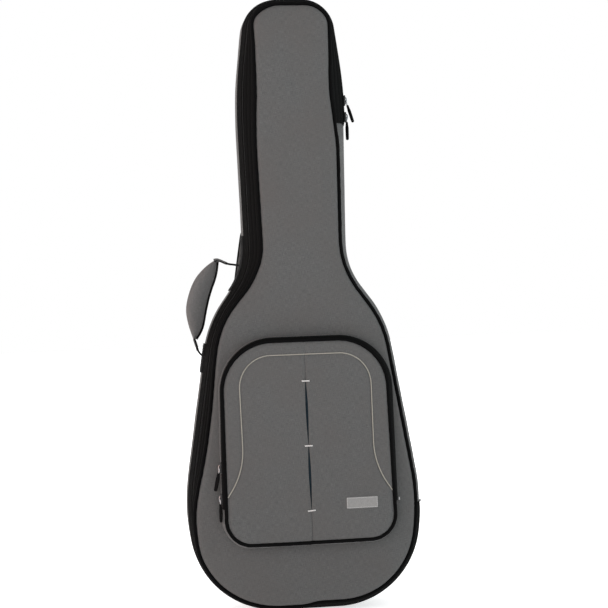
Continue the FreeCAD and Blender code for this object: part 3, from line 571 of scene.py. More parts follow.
def runSwelling():
    setup = swellSetup
    for job in swellJobs:
        piece = job["piece"]
        group = piece.vertex_groups.new(name="held")
        group.add(np.nonzero(job["held"](pointsOf(piece.data) / mm))[0].tolist(), 1.0, "REPLACE")
        cloth = piece.modifiers.new("swell", "CLOTH")
        cloth.collision_settings.use_collision = False
        settings = cloth.settings
        settings.quality = setup["quality"]
        settings.mass = setup["mass"]
        settings.tension_stiffness = setup["tension"]
        settings.compression_stiffness = setup["tension"]
        settings.bending_stiffness = setup["bending"]
        settings.use_pressure = True
        settings.uniform_pressure_force = job["pressure"]
        settings.vertex_group_mass = "held"
        settings.effector_weights.gravity = 0.0
    scene = bpy.context.scene
    for step in range(1, setup["frames"] + 1):
        scene.frame_set(step)
    graph = bpy.context.evaluated_depsgraph_get()
    for job in swellJobs:
        shown = job["piece"].evaluated_get(graph)
        job["found"] = pointsOf(shown.to_mesh())
        shown.to_mesh_clear()
    for job in swellJobs:
        piece, cap = job["piece"], job["cap"]
        piece.modifiers.remove(piece.modifiers["swell"])
        piece.vertex_groups.clear()
        before = pointsOf(piece.data)
        moved = job["found"] - before
        size = np.linalg.norm(moved, axis=1)[:, None] + 1e-12
        moved *= cap * np.tanh(size / cap) / size
        piece.data.vertices.foreach_set("co", (before + moved).astype(np.float32).ravel())
        piece.data.update()
    scene.frame_set(1)


# Outlines and the build-up of the wall, as depths (y) and insets from the widest outline.
bag = roundedOutline([
    (187, 0, 154), (216, 193, 380), (163, 517, 200), (93, 616, 124), (99, 927, 860), (77, 1100, 62)])
wallSetup = {
    "hingeLow": 186, "hingeHigh": 870,  # heights of the fabric hinge on the right
    "splitDepth": -52.7,  # where the two rows of zip teeth meet
    "seamDepth": -17,  # where the zip band meets the gusset
    "backDepth": 76,
}
frontFit = {
    "left": [
        (0, -5), (50, -10), (110, -13), (180, -11), (250, -3), (300, 0), (374, 0), (450, -4), (520, -4.5),
        (556, -3.5), (602, 1.5), (648, 7), (700, 6.5), (830, 5.5), (921, 9), (957, 7), (1012, 0), (1058, -8),
        (1090, -2), (1100, -1)],
    "right": [
        (0, 0), (600, 0), (660, 2.5), (830, 4.2), (866, 8.6), (921, 13.5), (957, 11.5), (1012, 3.3),
        (1058, -2.5), (1100, -1)],
    "smoothing": 24, "stations": 1200,
}


# How much further inside the outline the front panel sits at a length along it: read from the two
# tables by height, then averaged over a stretch of the outline.
def frontShift(s):
    count = frontFit["stations"]
    even = np.linspace(0, bag[1], count, endpoint=False)
    height = bag[0](even)[0][:, 1]
    right, left = (np.interp(height, *np.array(frontFit[side], float).T) for side in ("right", "left"))
    shift = np.where(even < bag[1] / 2, right, left)
    reach = int(frontFit["smoothing"] / bag[1] * count)
    window = np.hanning(2 * reach + 3)
    window /= window.sum()
    shift = np.convolve(np.concatenate([shift[-reach - 1:], shift, shift[:reach + 1]]), window, "valid")
    return np.interp(np.asarray(s) % bag[1], even, shift, period=bag[1])


zipRange = (lengthAt(bag, wallSetup["hingeHigh"]), bag[1] + lengthAt(bag, wallSetup["hingeLow"]))
hingeRange = (lengthAt(bag, wallSetup["hingeLow"]), lengthAt(bag, wallSetup["hingeHigh"]))


# Panels: foam under cloth with a rounded edge, edged with piping.
panelSetup = {
    "step": 5.5, "spine": (170, 1030), "fill": 28,
    "unevenness": 0.5, "fineUnevenness": 0.25,
    "pressure": 2.0, "swell": 1.6,
}
panels = {
    "front_panel": {
        "side": -1, "inset": 21.2, "hidden": -65.6, "rim": -77.2, "rise": 6.6, "round": 13,
        "body": "lid", "replaces": ("front_cover", "front_foam")},
    "back_panel": {
        "side": 1, "inset": 15.2, "hidden": 65.4, "rim": 76.6, "rise": 3.4, "round": 12,
        "body": "case_back", "replaces": ("back_cover", "back_foam")},
}


# Faint folds near the lower corners, where the cloth is pulled round the foam: each is a bell across the
# distance from a short line.
def panelDent(x, z):
    folds = [
        ((-186, 118), (-160, 142), 3.6, 1.9), ((-190, 150), (-176, 190), 5.0, 1.2),
        ((178, 140), (190, 172), 4.5, 1.6), ((-70, 640), (-66, 760), 14, 0.5)]
    dent = 0.0
    for (x0, z0), (x1, z1), width, depth in folds:
        way = np.array([x1 - x0, z1 - z0], float)
        t = np.clip(((x - x0) * way[0] + (z - z0) * way[1]) / (way @ way), 0, 1)
        gap = np.hypot(x - x0 - t * way[0], z - z0 - t * way[1])
        dent = dent + depth * np.exp(-(gap / width) ** 2)
    return dent


# A slab whose rim is a quarter ellipse; only its outer face is uneven, and less so near the rim.
def makePanel(name, panel):
    setup = panelSetup
    side, inset, hidden, width = (panel[key] for key in ("side", "inset", "hidden", "round"))
    edge = roundedRim(inset, panel["rim"], width, side * panel["rise"], 10)
    under = [(inset + width, hidden), (inset + 1.5, hidden), (inset + 0.2, hidden + side * 1.5)]
    s = lengthsAlong(bag, setup["step"])
    rim = np.concatenate([under, edge])
    flat, depth = slabGrid(bag, s, rim, setup["spine"], setup["fill"], frontShift(s) if side < 0 else 0.0)
    x, z = flat[..., 0], flat[..., 1]
    fade = np.clip((np.arange(flat.shape[1]) - setup["fill"] - 3) / 10.0, 0, 1)
    uneven = setup["unevenness"] * softWaves(x, z, 130, 3) + setup["fineUnevenness"] * softWaves(x, z, 34, 5)
    depth = depth + fade * side * (uneven - (panelDent(x, z) if side < 0 else 0.0))
    piece = makeSlab(
        name, np.stack([x, depth, z], -1), shellFabric, body=panel["body"], slot="shell_fabric",
        replaces=panel["replaces"])

    def held(spots):
        # everything but the outer face stays
        return side * spots[:, 1] < side * (panel["rim"] + side * panel["rise"]) - 1.5

    swellLater(piece, held, setup["pressure"], setup["swell"])


for name, panel in panels.items():
    makePanel(name, panel)

# Piping round each panel, its inset waving a little as a sewn cord does.
pipingSetup = {
    "radius": 3.0,
    "front_edge_piping": {"inset": 17.9, "depth": -77.4, "body": "lid", "node": "front_piping"},
    "back_edge_piping": {"inset": 12.4, "depth": 77.3, "body": "case_back", "node": "back_piping"},
}


def makePiping(name):
    piping, radius = pipingSetup[name], pipingSetup["radius"]
    s = lengthsAlong(bag, 4)
    profile = perStation(roundProfile(radius, radius, 14) + (piping["depth"], piping["inset"]), s)
    profile[..., 1] += 0.18 * np.sin(s / 3.1)[:, None] + 0.15 * np.sin(s / 7.7)[:, None]
    if piping["body"] == "lid":
        profile[..., 1] += frontShift(s)[:, None]
    makeSweep(
        name, carryRound(bag, s, profile), True, pipingBlack, body=piping["body"], slot="black_webbing",
        replaces=(piping["node"],))


makePiping("front_edge_piping")
makePiping("back_edge_piping")
print("panels and piping made")


# Side wall. The padded gusset's inset grows towards both seams; the lining follows it inside the foam.
gussetSetup = {
    "foam": 12.6, "lining": 0.9, "frontTuck": 2.2, "backTuck": 15.4, "seamPull": 1.0,
    "linedTo": 66,  # depth of the foam's back edge
    "pressure": 2.0, "swell": 1.2,
}


def gussetInset(y):
    setup = gussetSetup
    towardsFront = setup["frontTuck"] * np.clip((-2 - y) / 25, 0, 1) ** 2
    towardsBack = setup["backTuck"] * np.clip((y - 15) / 61, 0, 1) ** 1.7
    atSeams = np.exp(-abs(y - wallSetup["seamDepth"]) / 2.5) + 1.6 * np.exp(-(wallSetup["backDepth"] - y) / 4)
    return towardsFront + towardsBack + setup["seamPull"] * atSeams


def foamInset(y):
    return gussetInset(np.clip(y, -12, gussetSetup["linedTo"])) + gussetSetup["foam"]


def makeGusset():
    setup = gussetSetup
    s = lengthsAlong(bag, 6)
    y = np.linspace(wallSetup["seamDepth"], wallSetup["backDepth"], 27)
    inner = np.linspace(setup["linedTo"], wallSetup["seamDepth"] + 1, 10)
    outer, inside = np.stack([y, gussetInset(y)], -1), np.stack([inner, foamInset(inner)], -1)
    profile = perStation(np.concatenate([outer, inside]), s)
    fade = np.sin(np.pi * (y - y[0]) / (y[-1] - y[0]))
    profile[:, :len(y), 1] += (0.5 * softWaves(s[:, None], y[None], 90, 11) + 0.3) * fade
    piece = makeSweep(
        "side_gusset", carryRound(bag, s, profile), True, shellFabric,
        body="case_back", slot="shell_fabric", replaces=("gusset_cover", "gusset_foam"))

    def held(spots):
        # seam rows, the inner side and the flat base stay
        seams = (spots[:, 1] < wallSetup["seamDepth"] + 3) | (spots[:, 1] > wallSetup["backDepth"] - 4)
        return seams | (spots[:, 2] < 14) | insideWall(spots)

    swellLater(piece, held, setup["pressure"], setup["swell"])
    lined = np.linspace(-45, 64, 30)
    tufted = 0.6 * abs(np.sin(np.pi * (lined + 45) / 27))
    near = np.stack([lined, foamInset(lined) + 0.5 + tufted], -1)
    far = near[::-1] + (0, -setup["lining"])
    makeSweep(
        "side_lining", carryRound(bag, lengthsAlong(bag, 8), np.concatenate([near, far])), True, plushLining,
        body="case_back", slot="lining", replaces=("gusset_lining",))


# True for points more than 8 mm inside the widest outline, or further where the wall is tucked in.
def insideWall(spots):
    line = bag[0](np.linspace(0, bag[1], 700))[0]
    wall = gussetInset(np.clip(spots[:, 1], -30, 66))
    return distanceTo(spots[:, [0, 2]], line) > np.maximum(8.0, wall + 6)


makeGusset()

# Zip bands: lengthwise ribs of folded tape, |sin| across the band, over a thin backing.
bandSetup = {
    "ribHeight": 2.3, "thickness": 1.2, "points": 33, "endTuck": 1.6, "endReach": 9,
    "lid_zip_band": {
        "start": (-75.2, 18.2), "end": (-56.4, 8.0), "ribs": 3, "body": "lid", "node": "front_zip_tape"},
    "rear_zip_band": {
        "start": (-49.2, 6.2), "end": (-17.2, 1.5), "ribs": 4, "body": "case_back", "node": "rear_zip_tape"},
}


def makeBand(name):
    setup, band = bandSetup, bandSetup[name]
    start, end = np.array(band["start"]), np.array(band["end"])
    way = (end - start) / np.linalg.norm(end - start)
    out = np.array([way[1], -way[0]])
    t = np.linspace(0, 1, setup["points"])[:, None]
    lift = setup["ribHeight"] * abs(np.sin(np.pi * band["ribs"] * t)) ** 0.7
    outer = start + (end - start) * t + out * lift
    inner = start + (end - start) * t[::-4] - out * setup["thickness"]
    s = lengthsAlong(bag, 5, *zipRange)
    profile = perStation(np.concatenate([outer, inner]), s)
    if band["body"] == "lid":
        towards = np.clip((end[0] - profile[..., 0]) / (end[0] - start[0]), 0, 1)
        profile[..., 1] += frontShift(s)[:, None] * towards
    toEnd = np.minimum(s - s[0], s[-1] - s)
    profile[..., 1] += (setup["endTuck"] * np.exp(-toEnd / setup["endReach"]))[:, None]
    makeSweep(
        name, carryRound(bag, s, profile), False, zipTape, body=band["body"], slot="zip_tape",
        replaces=(band["node"],))


makeBand("lid_zip_band")
makeBand("rear_zip_band")

# Zip teeth: two rows of short bars that mesh along the split, each on its woven cord.
toothSetup = {"pitch": 2.6, "length": 4.6, "width": 1.35, "height": 1.9, "overlap": 0.9}


def makeTeeth(name, outline, span, depth, inset, side, offset, body, node, bend=None):
    setup = toothSetup
    at = np.arange(span[0] + offset, span[1], setup["pitch"])
    point, normal = outline[0](at)
    flat = point - normal * inset
    reach = side * (setup["length"] / 2 - setup["overlap"])
    centre = np.stack([flat[:, 0], np.full(len(at), depth + reach), flat[:, 1]], -1)
    lift = np.stack([normal[:, 0], 0 * at, normal[:, 1]], -1)
    makeBars(
        name, centre, np.broadcast_to(acrossY, centre.shape), lift, setup["length"], setup["width"],
        setup["height"], coilNylon, body=body, slot="zip_coil", replaces=(node,), bend=bend)
    cord = roundProfile(1.5, 0.9, 8) + (depth + side * (setup["length"] - 0.6), inset + 0.4)
    makeSweep(
        name + "_cord", carryRound(outline, lengthsAlong(outline, 6, *span), cord), False, zipTape,
        body=body, slot="zip_tape", bend=bend)


split = wallSetup["splitDepth"]
makeTeeth("lid_zip_teeth", bag, zipRange, split, 7.2, -1, 1.0, "lid", "front_zip_coil")
makeTeeth("rear_zip_teeth", bag, zipRange, split, 7.0, 1, 2.3, "case_back", "rear_zip_coil")

# Fabric hinge on the right: one cloth strip from the lid's piping to the gusset's seam.
hingeSetup = {
    "line": [(-74.8, 18.6), (-60, 9.6), (-49, 6.0), (-34, 3.2), (-17.2, 1.5)], "thickness": 1.1, "slack": 0.5,
    "bend": [(190, -40, 557.5), (190, -68, 557.5)],  # two points across the wall's depth
}


def makeHinge():
    setup = hingeSetup
    t = np.linspace(0, 1, 25)
    outer = smoothCurve(setup["line"], 25)
    s = lengthsAlong(bag, 5, hingeRange[0] - 1, hingeRange[1] + 1)
    profile = perStation(np.concatenate([outer, outer[::-1] + (0, setup["thickness"])]), s)
    both = np.concatenate([t, t[::-1]])
    fade = np.sin(np.pi * both)
    profile[..., 1] += setup["slack"] * softWaves(s[:, None], 0 * fade[None], 60, 21) * fade
    profile[..., 1] += frontShift(s)[:, None] * (1 - both)
    piece = makeSweep(
        "hinge_strip", carryRound(bag, s, profile), False, shellFabric, slot="shell_fabric",
        replaces=("hinge_gusset",))
    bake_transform(piece)


makeHinge()
print("side wall, zip bands and hinge made")


# Linings: brushed sheets with a soft quilted lift.
liningSetup = {
    "thickness": 0.9, "quilt": 70, "lift": 1.2, "step": 9, "fill": 22,
    "lid_lining": {"depth": -64.9, "inset": 23.5, "side": 1, "body": "lid", "node": "front_lining"},
    "base_lining": {"depth": 64.9, "inset": 17.5, "side": -1, "body": "case_back", "node": "back_lining"},
}


def makeLining(name):
    setup, lining = liningSetup, liningSetup[name]
    inset, depth, side = lining["inset"], lining["depth"], lining["side"]
    rim = [(inset, depth), (inset, depth + side * setup["thickness"])]
    flat, height = slabGrid(bag, lengthsAlong(bag, setup["step"]), rim, panelSetup["spine"], setup["fill"])
    x, z = flat[..., 0], flat[..., 1]
    quilt = abs(np.sin(np.pi * (x + z) / setup["quilt"]) * np.sin(np.pi * (x - z) / setup["quilt"])) ** 0.4
    fade = np.clip((np.arange(flat.shape[1]) - setup["fill"] - 1) / 3.0, 0, 1)
    height = height + side * fade * setup["lift"] * quilt
    makeSlab(
        name, np.stack([x, height, z], -1), plushLining, body=lining["body"], slot="lining",
        replaces=(lining["node"],))


makeLining("lid_lining")
makeLining("base_lining")
print("linings made")


# Pocket on the lid.
pocket = roundedOutline([(158, 122, 52), (153.6, 493, 96)])
trimLine = roundedOutline([(178, 90, 4), (178, 165, 8), (116, 262, 135), (117, 461, 56)])
pocketSetup = {
    "zipFrom": 195,
    "gusset": [(-82.0, 0.2), (-84.5, -0.3), (-88.0, -0.4), (-91.5, 0.4), (-94.0, 1.6)],
    "tape": [(-96.9, 1.6), (-99.5, 0.9), (-103.0, 1.6), (-105.6, 4.2), (-106.4, 6.4)],
    "fold": [(-82.0, 0.2), (-87.0, -0.8), (-94.0, -0.4), (-101.0, 1.8), (-105.6, 4.4)],
    "foldBend": [(0, -84, 140), (0, -103, 140)],  # two points across the pocket's depth
    "wall": 1.2, "footTuck": 2.8, "sideTuck": 1.6, "lean": -3.2, "teethDepth": -95.2,
    "pipingRadius": 3.5, "pipingInset": 7.4, "pipingDepth": -107.0,
    "faceInset": 10.3, "faceRim": -108.0, "faceRise": 2.6, "faceRound": 6.0,
    "pillow": 1.6, "trimGroove": 1.1, "trimRadius": 0.95, "clothThickness": 1.2,
    "pleatTop": 414, "pleatMiddle": 300, "pleatLow": 186, "pleatOpen": 2.0, "pleatShut": 0.22,
}
pocketUpper = (lengthAt(pocket, pocketSetup["zipFrom"]), pocket[1] - lengthAt(pocket, pocketSetup["zipFrom"]))


# The upper part of the pocket's face sits a little to the left of its foot.
def pocketLean(points):
    share = np.clip((points[:, 2] - 150) / 260, 0, 1) * np.clip((-101.5 - points[:, 1]) / 4.5, 0, 1)
    return points + np.stack([pocketSetup["lean"] * share, 0 * share, 0 * share], -1)


# Closed profile of a wall: a smooth outer line, and the same line one thickness further in.
def shellProfile(outer):
    outer = smoothCurve(outer, 15)
    return np.concatenate([outer, outer[::-1] + (0, pocketSetup["wall"])])


def makePocketWalls():
    setup = pocketSetup
    s = lengthsAlong(pocket, 5, *pocketUpper)
    for name, profile, material, slot, node, body in (
        ("pocket_side", setup["gusset"], shellFabric, "shell_fabric", "pocket_gusset", "lid"),
        ("pocket_zip_band", setup["tape"], zipTape, "zip_tape", "pocket_zip_tape", "pocket_flap"),
    ):
        grid = carryRound(pocket, s, shellProfile(profile))
        makeSweep(name, grid, False, material, body=body, slot=slot, replaces=(node,), bend=pocketLean)
    s = lengthsAlong(pocket, 5, pocketUpper[1] - pocket[1] - 1, pocketUpper[0] + 1)
    profile = perStation(shellProfile(setup["fold"]), s)
    t = np.concatenate([np.linspace(0, 1, 15), np.linspace(1, 0, 15)])
    sides = np.clip((pocket[0](s)[0][:, 1] - 145) / 20, 0, 1)[:, None]
    waves = 0.8 * softWaves(s[:, None], 0 * t[None], 46, 31) * (1 - sides)
    profile[..., 1] += (waves + setup["sideTuck"] * sides) * np.sin(np.pi * t)
    profile[..., 1] += setup["footTuck"] * (1 - sides) * (1 - t)
    fold = makeSweep(
        "pocket_foot_fold", carryRound(pocket, s, profile), False, shellFabric,
        slot="shell_fabric", replaces=("pocket_lower_fold",), bend=pocketLean)
    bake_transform(fold)
    makeTeeth(
        "pocket_zip_teeth", pocket, pocketUpper, setup["teethDepth"], 1.2, 1, 0.6, "lid", "pocket_zip_coil",
        pocketLean)
    s = lengthsAlong(pocket, 4)
    ring = roundProfile(setup["pipingRadius"], setup["pipingRadius"], 14)
    profile = perStation(ring + (setup["pipingDepth"], setup["pipingInset"]), s)
    profile[..., 1] += (0.7 * softWaves(s, 0 * s, 120, 41) + 0.12 * np.sin(s / 2.9))[:, None]
    makeSweep(
        "pocket_edge_piping", carryRound(pocket, s, profile), True, pipingBlack,
        body="pocket_flap", slot="black_webbing", bend=pocketLean)


makePocketWalls()


# Length along the trim line where it comes inside the pocket's face on the right.
def trimCrossing():
    s = np.linspace(0, trimLine[1] / 2, 3000)
    point = trimLine[0](s)[0]
    inside = point[:, 0] < halfWidth(pocket, pocketSetup["faceInset"], point[:, 1])
    return s[np.argmax((point[:, 1] > 170) & inside)]


trimFrom = trimCrossing()
trimPath = trimLine[0](np.linspace(trimFrom, trimLine[1] - trimFrom, 500))[0]
facePoint, faceNormal = pocket[0](np.linspace(0, pocket[1], 900))
facePath = facePoint - faceNormal * pocketSetup["faceInset"]


# Depth of the pocket's face: a rounded rise from the rim, a soft pillow, a groove under the trim,
# a groove down the pleat, and fine radial puckers round the two upper corners.
def faceDepth(x, z):
    setup = pocketSetup
    toRim, toTrim = (distanceTo(np.stack([x, z], -1), line) for line in (facePath, trimPath))
    rise = setup["faceRise"] * (1 - np.clip(1 - toRim / setup["faceRound"], 0, 1) ** 2)
    pillow = setup["pillow"] * (1 - np.exp(-toRim / 45))
    groove = setup["trimGroove"] * np.exp(-(toTrim / 3.2) ** 2)
    pleat = 0.9 * np.exp(-(x / 3.0) ** 2)
    pucker = 0.0
    for side in (-1, 1):
        away = np.hypot(x - side * 72, z - 405)
        turn = np.arctan2(z - 405, side * x - 72)
        band = np.exp(-((away - 68) / 14) ** 2) * np.clip(np.sin(2 * np.clip(turn, 0, np.pi / 2)), 0, 1)
        pucker = pucker + 0.32 * band * np.sin(turn * 34 + side)
    sag = 0.6 * softWaves(x, z, 120, 51) + 0.22 * softWaves(x, z, 30, 53)
    return setup["faceRim"] - rise - pillow + groove + pleat + pucker + sag * np.clip(toRim / 20, 0, 1)


# Half opening of the pleat: a lens between neighbouring bartacks, nearly shut elsewhere.
def pleatOpening(z):
    setup = pocketSetup
    upper = np.clip((z - setup["pleatMiddle"]) / (setup["pleatTop"] - setup["pleatMiddle"]), 0, 1)
    lower = np.clip((z - setup["pleatLow"]) / (setup["pleatMiddle"] - setup["pleatLow"]), 0, 1)
    lens = np.sin(np.pi * upper ** 1.25) + np.sin(np.pi * lower ** 1.25)
    return setup["pleatShut"] + setup["pleatOpen"] * np.clip(lens, 0, 1) ** 0.85


# Grid of points on the pocket's face, given thickness on its inner side.
def makeSheet(name, x, z, node, turnOver=False):
    rows, cols = x.shape
    faces = gridFaces(rows, cols, False, False)
    if turnOver:
        faces = faces[:, ::-1]
    piece = makePiece(
        name, np.stack([x, faceDepth(x, z), z], -1), faces, shellFabric, turn=False, bend=pocketLean,
        body="pocket_flap", slot="shell_fabric", replaces=(node,))
    solid = piece.modifiers.new("thickness", "SOLIDIFY")
    solid.thickness = pocketSetup["clothThickness"] * mm
    solid.offset = -1.0


def makePocketFace():
    setup = pocketSetup
    inset = setup["faceInset"]
    low = facePath[:, 1].min() + 0.05
    rise = (1 - np.cos(np.linspace(0, np.pi / 2, 30))) * 45
    top = 461 - 46 * np.cos(np.linspace(0, np.pi / 2, 24))[1:]
    z = np.concatenate([low + rise[:-1], np.linspace(low + rise[-1], 415, 60), top])
    wide = np.minimum(halfWidth(trimLine, 0.0, z), halfWidth(pocket, inset, z))
    wide[z < 170] = halfWidth(pocket, inset, z[z < 170])
    wide[-1] = 72.0
    share = np.linspace(0, 1, 40) ** 1.5
    opening = pleatOpening(z)
    for which, side in (("left", -1), ("right", 1)):
        x = side * (opening[:, None] + (wide - opening)[:, None] * share[None])
        heights = np.broadcast_to(z[:, None], x.shape)
        makeSheet("pocket_front_" + which, x, heights, "pocket_centre_" + which, turnOver=side < 0)
    # border from the trim to the rim, matched by share of length from one crossing to the other
    trim = trimLine[0](np.linspace(trimFrom, trimLine[1] - trimFrom, 260))[0]
    meet = lengthAt(pocket, trim[0, 1])
    point, normal = pocket[0](np.linspace(meet, pocket[1] - meet, 260))
    t = np.linspace(0, 1, 16)[None, :, None]
    border = trim[:, None] * (1 - t) + (point - normal * inset)[:, None] * t
    makeSheet("pocket_front_border", border[..., 0], border[..., 1], "pocket_border")
    depth = faceDepth(trimPath[:, 0], trimPath[:, 1]) - 0.55
    path = np.stack([trimPath[:, 0], depth, trimPath[:, 1]], -1)
    ring = roundProfile(setup["trimRadius"], setup["trimRadius"], 8)
    makeSweep(
        "pocket_trim", carryPath(path[::2], acrossY, ring), False, trimCloth,
        body="pocket_flap", slot="piping_grey", replaces=("trim_piping",), bend=pocketLean)
    rim = [(inset, -105.6), (inset, -106.4)]
    flat, height = slabGrid(pocket, lengthsAlong(pocket, 8), rim, (200, 420), 8)
    makeSlab(
        "pocket_backing", np.stack([flat[..., 0], height, flat[..., 1]], -1), navyCloth,
        body="pocket_flap", slot="lining", replaces=("pocket_lining",), bend=pocketLean)


makePocketFace()


# Bartacks: a dense zigzag of thread across the pleat, at each of three heights.
bartackSetup = {
    "length": 12.6, "width": 2.5, "thickness": 1.25, "threads": 13, "slopes": {186: 0.3, 300: 0.0, 414: 0.0},
}


def makeBartacks():
    setup = bartackSetup
    centres, ways = [], []
    for height, slope in setup["slopes"].items():
        x = np.linspace(-0.5, 0.5, setup["threads"]) * setup["length"]
        lift = np.full(len(x), float(faceDepth(np.array([4.0]), np.array([float(height)]))[0]) - 0.9)
        centres.append(np.stack([x, lift, height + slope * x * 0.25], -1))
        lean = np.where(np.arange(len(x)) % 2, 0.35, -0.35)
        ways.append(np.stack([lean, 0 * x, 1 + 0 * x], -1))
    centre, way = np.concatenate(centres), np.concatenate(ways)
    makeBars(
        "pleat_bartacks", centre, way, np.broadcast_to(-acrossY, centre.shape), setup["width"],
        setup["thickness"], 1.1, threadLight, body="pocket_flap", slot="bartack_thread",
        replaces=("bartacks",), bend=pocketLean)


makeBartacks()

# Plain woven label, stitched round its edge.
labelSetup = {"x": (62, 118), "z": (186, 206), "thickness": 0.9, "stitchInset": 1.6}


def makeLabel():
    setup = labelSetup
    halfX, halfZ = (setup["x"][1] - setup["x"][0]) / 2, (setup["z"][1] - setup["z"][0]) / 2
    middle = np.array([sum(setup["x"]) / 2, sum(setup["z"]) / 2])
    outline = roundedOutline([(halfX, -halfZ, 1.2), (halfX, halfZ, 1.2)])
    rim = [(0, 0.6), (0, 0), (0.4, -setup["thickness"])]
    flat, height = slabGrid(outline, lengthsAlong(outline, 2), rim, (0, 0), 6)
    x, z = flat[..., 0] + middle[0], flat[..., 1] + middle[1]
    makeSlab(
        "woven_label", np.stack([x, faceDepth(x, z) - 0.1 + height, z], -1), labelCloth,
        body="pocket_flap", slot="label", replaces=("label_patch",))
    point, normal = outline[0](lengthsAlong(outline, 1))
    edge = point - normal * setup["stitchInset"] + middle
    depth = faceDepth(edge[:, 0], edge[:, 1]) - setup["thickness"] - 0.2
    makeStitches(
        "label_stitching", np.stack([edge[:, 0], depth, edge[:, 1]], -1), -acrossY, 2.4, 1.7, 0.5,
        threadLight, body="pocket_flap")


makeLabel()
print("pocket made")


# Zip sliders and pullers. Each is made round its slider's centre: lift away from the cloth, tape along
# the zip, and side across it.
sliderSetup = {
    "length": 19, "width": 9.4, "thickness": 3.0, "edge": 1.1,
    "bridgeReach": 5.6, "bridgeHeight": 3.3, "bridgeRadius": 0.9,
    "pivotHeight": 4.05, "pullerLength": 33, "pullerWidth": 7.0, "pullerDrop": 8.2,
    "eyeWire": 0.75, "eyeHalf": 2.9, "eyeLow": -9.0, "eyeHigh": 0.2,
}


# The middle of a slider's inner side; facing is the way it looks along X.
def sliderBase(node, facing):
    low, high = boxCorners(node)
    middle = (low + high) / 2
    return np.array([low[0] if facing > 0 else high[0], middle[1], middle[2]])


def makeSlider(name, node, facing):
    setup = sliderSetup
    base = sliderBase(node, facing)
    along, lift = np.array([0.0, 0.0, 1.0]), np.array([facing, 0.0, 0.0])
    half, reach = setup["width"] / 2, setup["length"] / 2
    outline = roundedOutline([(half * 0.62, -reach, 2.0), (half, 1.0, 6.0), (half, reach, 2.6)])
    makePlate(
        name, outline, setup["thickness"], setup["edge"], enamelBlack, base, [acrossY, along, lift],
        spine=(-4, 4), body=node, slot="zinc", replaces=(node,))
    t = np.linspace(0, 1, 28)[:, None]
    rise = setup["thickness"] - 0.8 + setup["bridgeHeight"] * np.sin(np.pi * t) ** 0.6
    arch = along * (np.cos(np.pi * t) * setup["bridgeReach"]) + lift * rise
    ring = roundProfile(1.5, setup["bridgeRadius"], 10)
    makeSweep(
        name + "_bridge", carryPath(base + arch, acrossY, ring), False, satinZinc, body=node, slot="zinc")


# Puller: a wire eye round the slider's bridge and a ribbed grip, which hangs at a lean and is twisted.
def makePuller(name, node, sliderNode, facing, lean, twist):
    setup = sliderSetup
    pivot = sliderBase(sliderNode, facing) + np.array([facing * setup["pivotHeight"], 0, 0])
    angle = math.radians(lean)
    down = np.array([facing * math.sin(angle), 0, -math.cos(angle)])
    lift = np.cross(acrossY, down) * facing * -1
    eye = roundedOutline([
        (setup["eyeHalf"], setup["eyeLow"], 2.2), (setup["eyeHalf"], setup["eyeHigh"], 2.6)])
    point = eye[0](lengthsAlong(eye, 1.0))[0]
    path = pivot + acrossY * point[:, :1] - down * point[:, 1:]
    ring = roundProfile(setup["eyeWire"], setup["eyeWire"], 8)
    makeSweep(name + "_eye", carryPath(path, lift, ring, True), True, satinZinc, body=node, slot="zinc")
    side = acrossY * math.cos(twist) + np.cross(acrossY, down) * math.sin(twist)
    lift = np.cross(side, down) * facing * -1
    half, length = setup["pullerWidth"] / 2, setup["pullerLength"]
    outline = roundedOutline([(half * 0.55, 0, 1.4), (half, length * 0.35, 9.0), (half * 0.92, length, 3.0)])
    rim = np.concatenate([roundedRim(0, -0.6, 1.1, -0.9, 5)[::-1], roundedRim(0, 0.6, 1.1, 0.9, 5)])
    flat, height = slabGrid(outline, lengthsAlong(outline, 1.0), rim, (4, length - 4), 5)
    ribs = 0.35 * np.clip(np.sin(flat[..., 1] * 2 * np.pi / 3.2), 0, 1) * (abs(height) > 1.2)
    height = height + np.sign(height) * ribs * ((flat[..., 1] > 10) & (flat[..., 1] < length - 6))
    start = pivot + down * setup["pullerDrop"]
    local = start + flat[..., :1] * side + flat[..., 1:] * down + height[..., None] * lift
    makeSlab(name, local, pullerRubber, body=node, slot="puller_rubber", replaces=(node,))


for line, facing, swings in (
    ("main", 1, {"upper": (17, 0.42), "lower": (0, 0.5)}),
    ("pocket", -1, {"upper": (12, 0.85), "lower": (0, 0.4)}),
):
    for which, (lean, twist) in swings.items():
        slider = line + "_slider_" + which
        makeSlider(line + "_zip_slider_" + which, slider, facing)
        makePuller(line + "_zip_puller_" + which, line + "_puller_" + which, slider, facing, lean, twist)


# Folded metal clip over the end of the teeth, with rounded edges.
def makeStop(name, node, body):
    low, high = boxCorners(node)
    size, middle = high - low, (low + high) / 2
    outline = roundedOutline([(size[1] / 2, -size[2] / 2, 0.8), (size[1] / 2, size[2] / 2, 0.8)])
    origin = middle - np.array([size[0] / 2, 0, 0])
    makePlate(
        name, outline, size[0], 0.7, satinZinc, origin, [(0, 1, 0), (0, 0, 1), (1, 0, 0)], 0.6,
        body=body, slot="zinc", replaces=(node,))


makeStop("main_zip_stop", "zip_end_stop", "case_back")
makeStop("pocket_zip_stop", "pocket_end_stop", "lid")
print("zip hardware made")


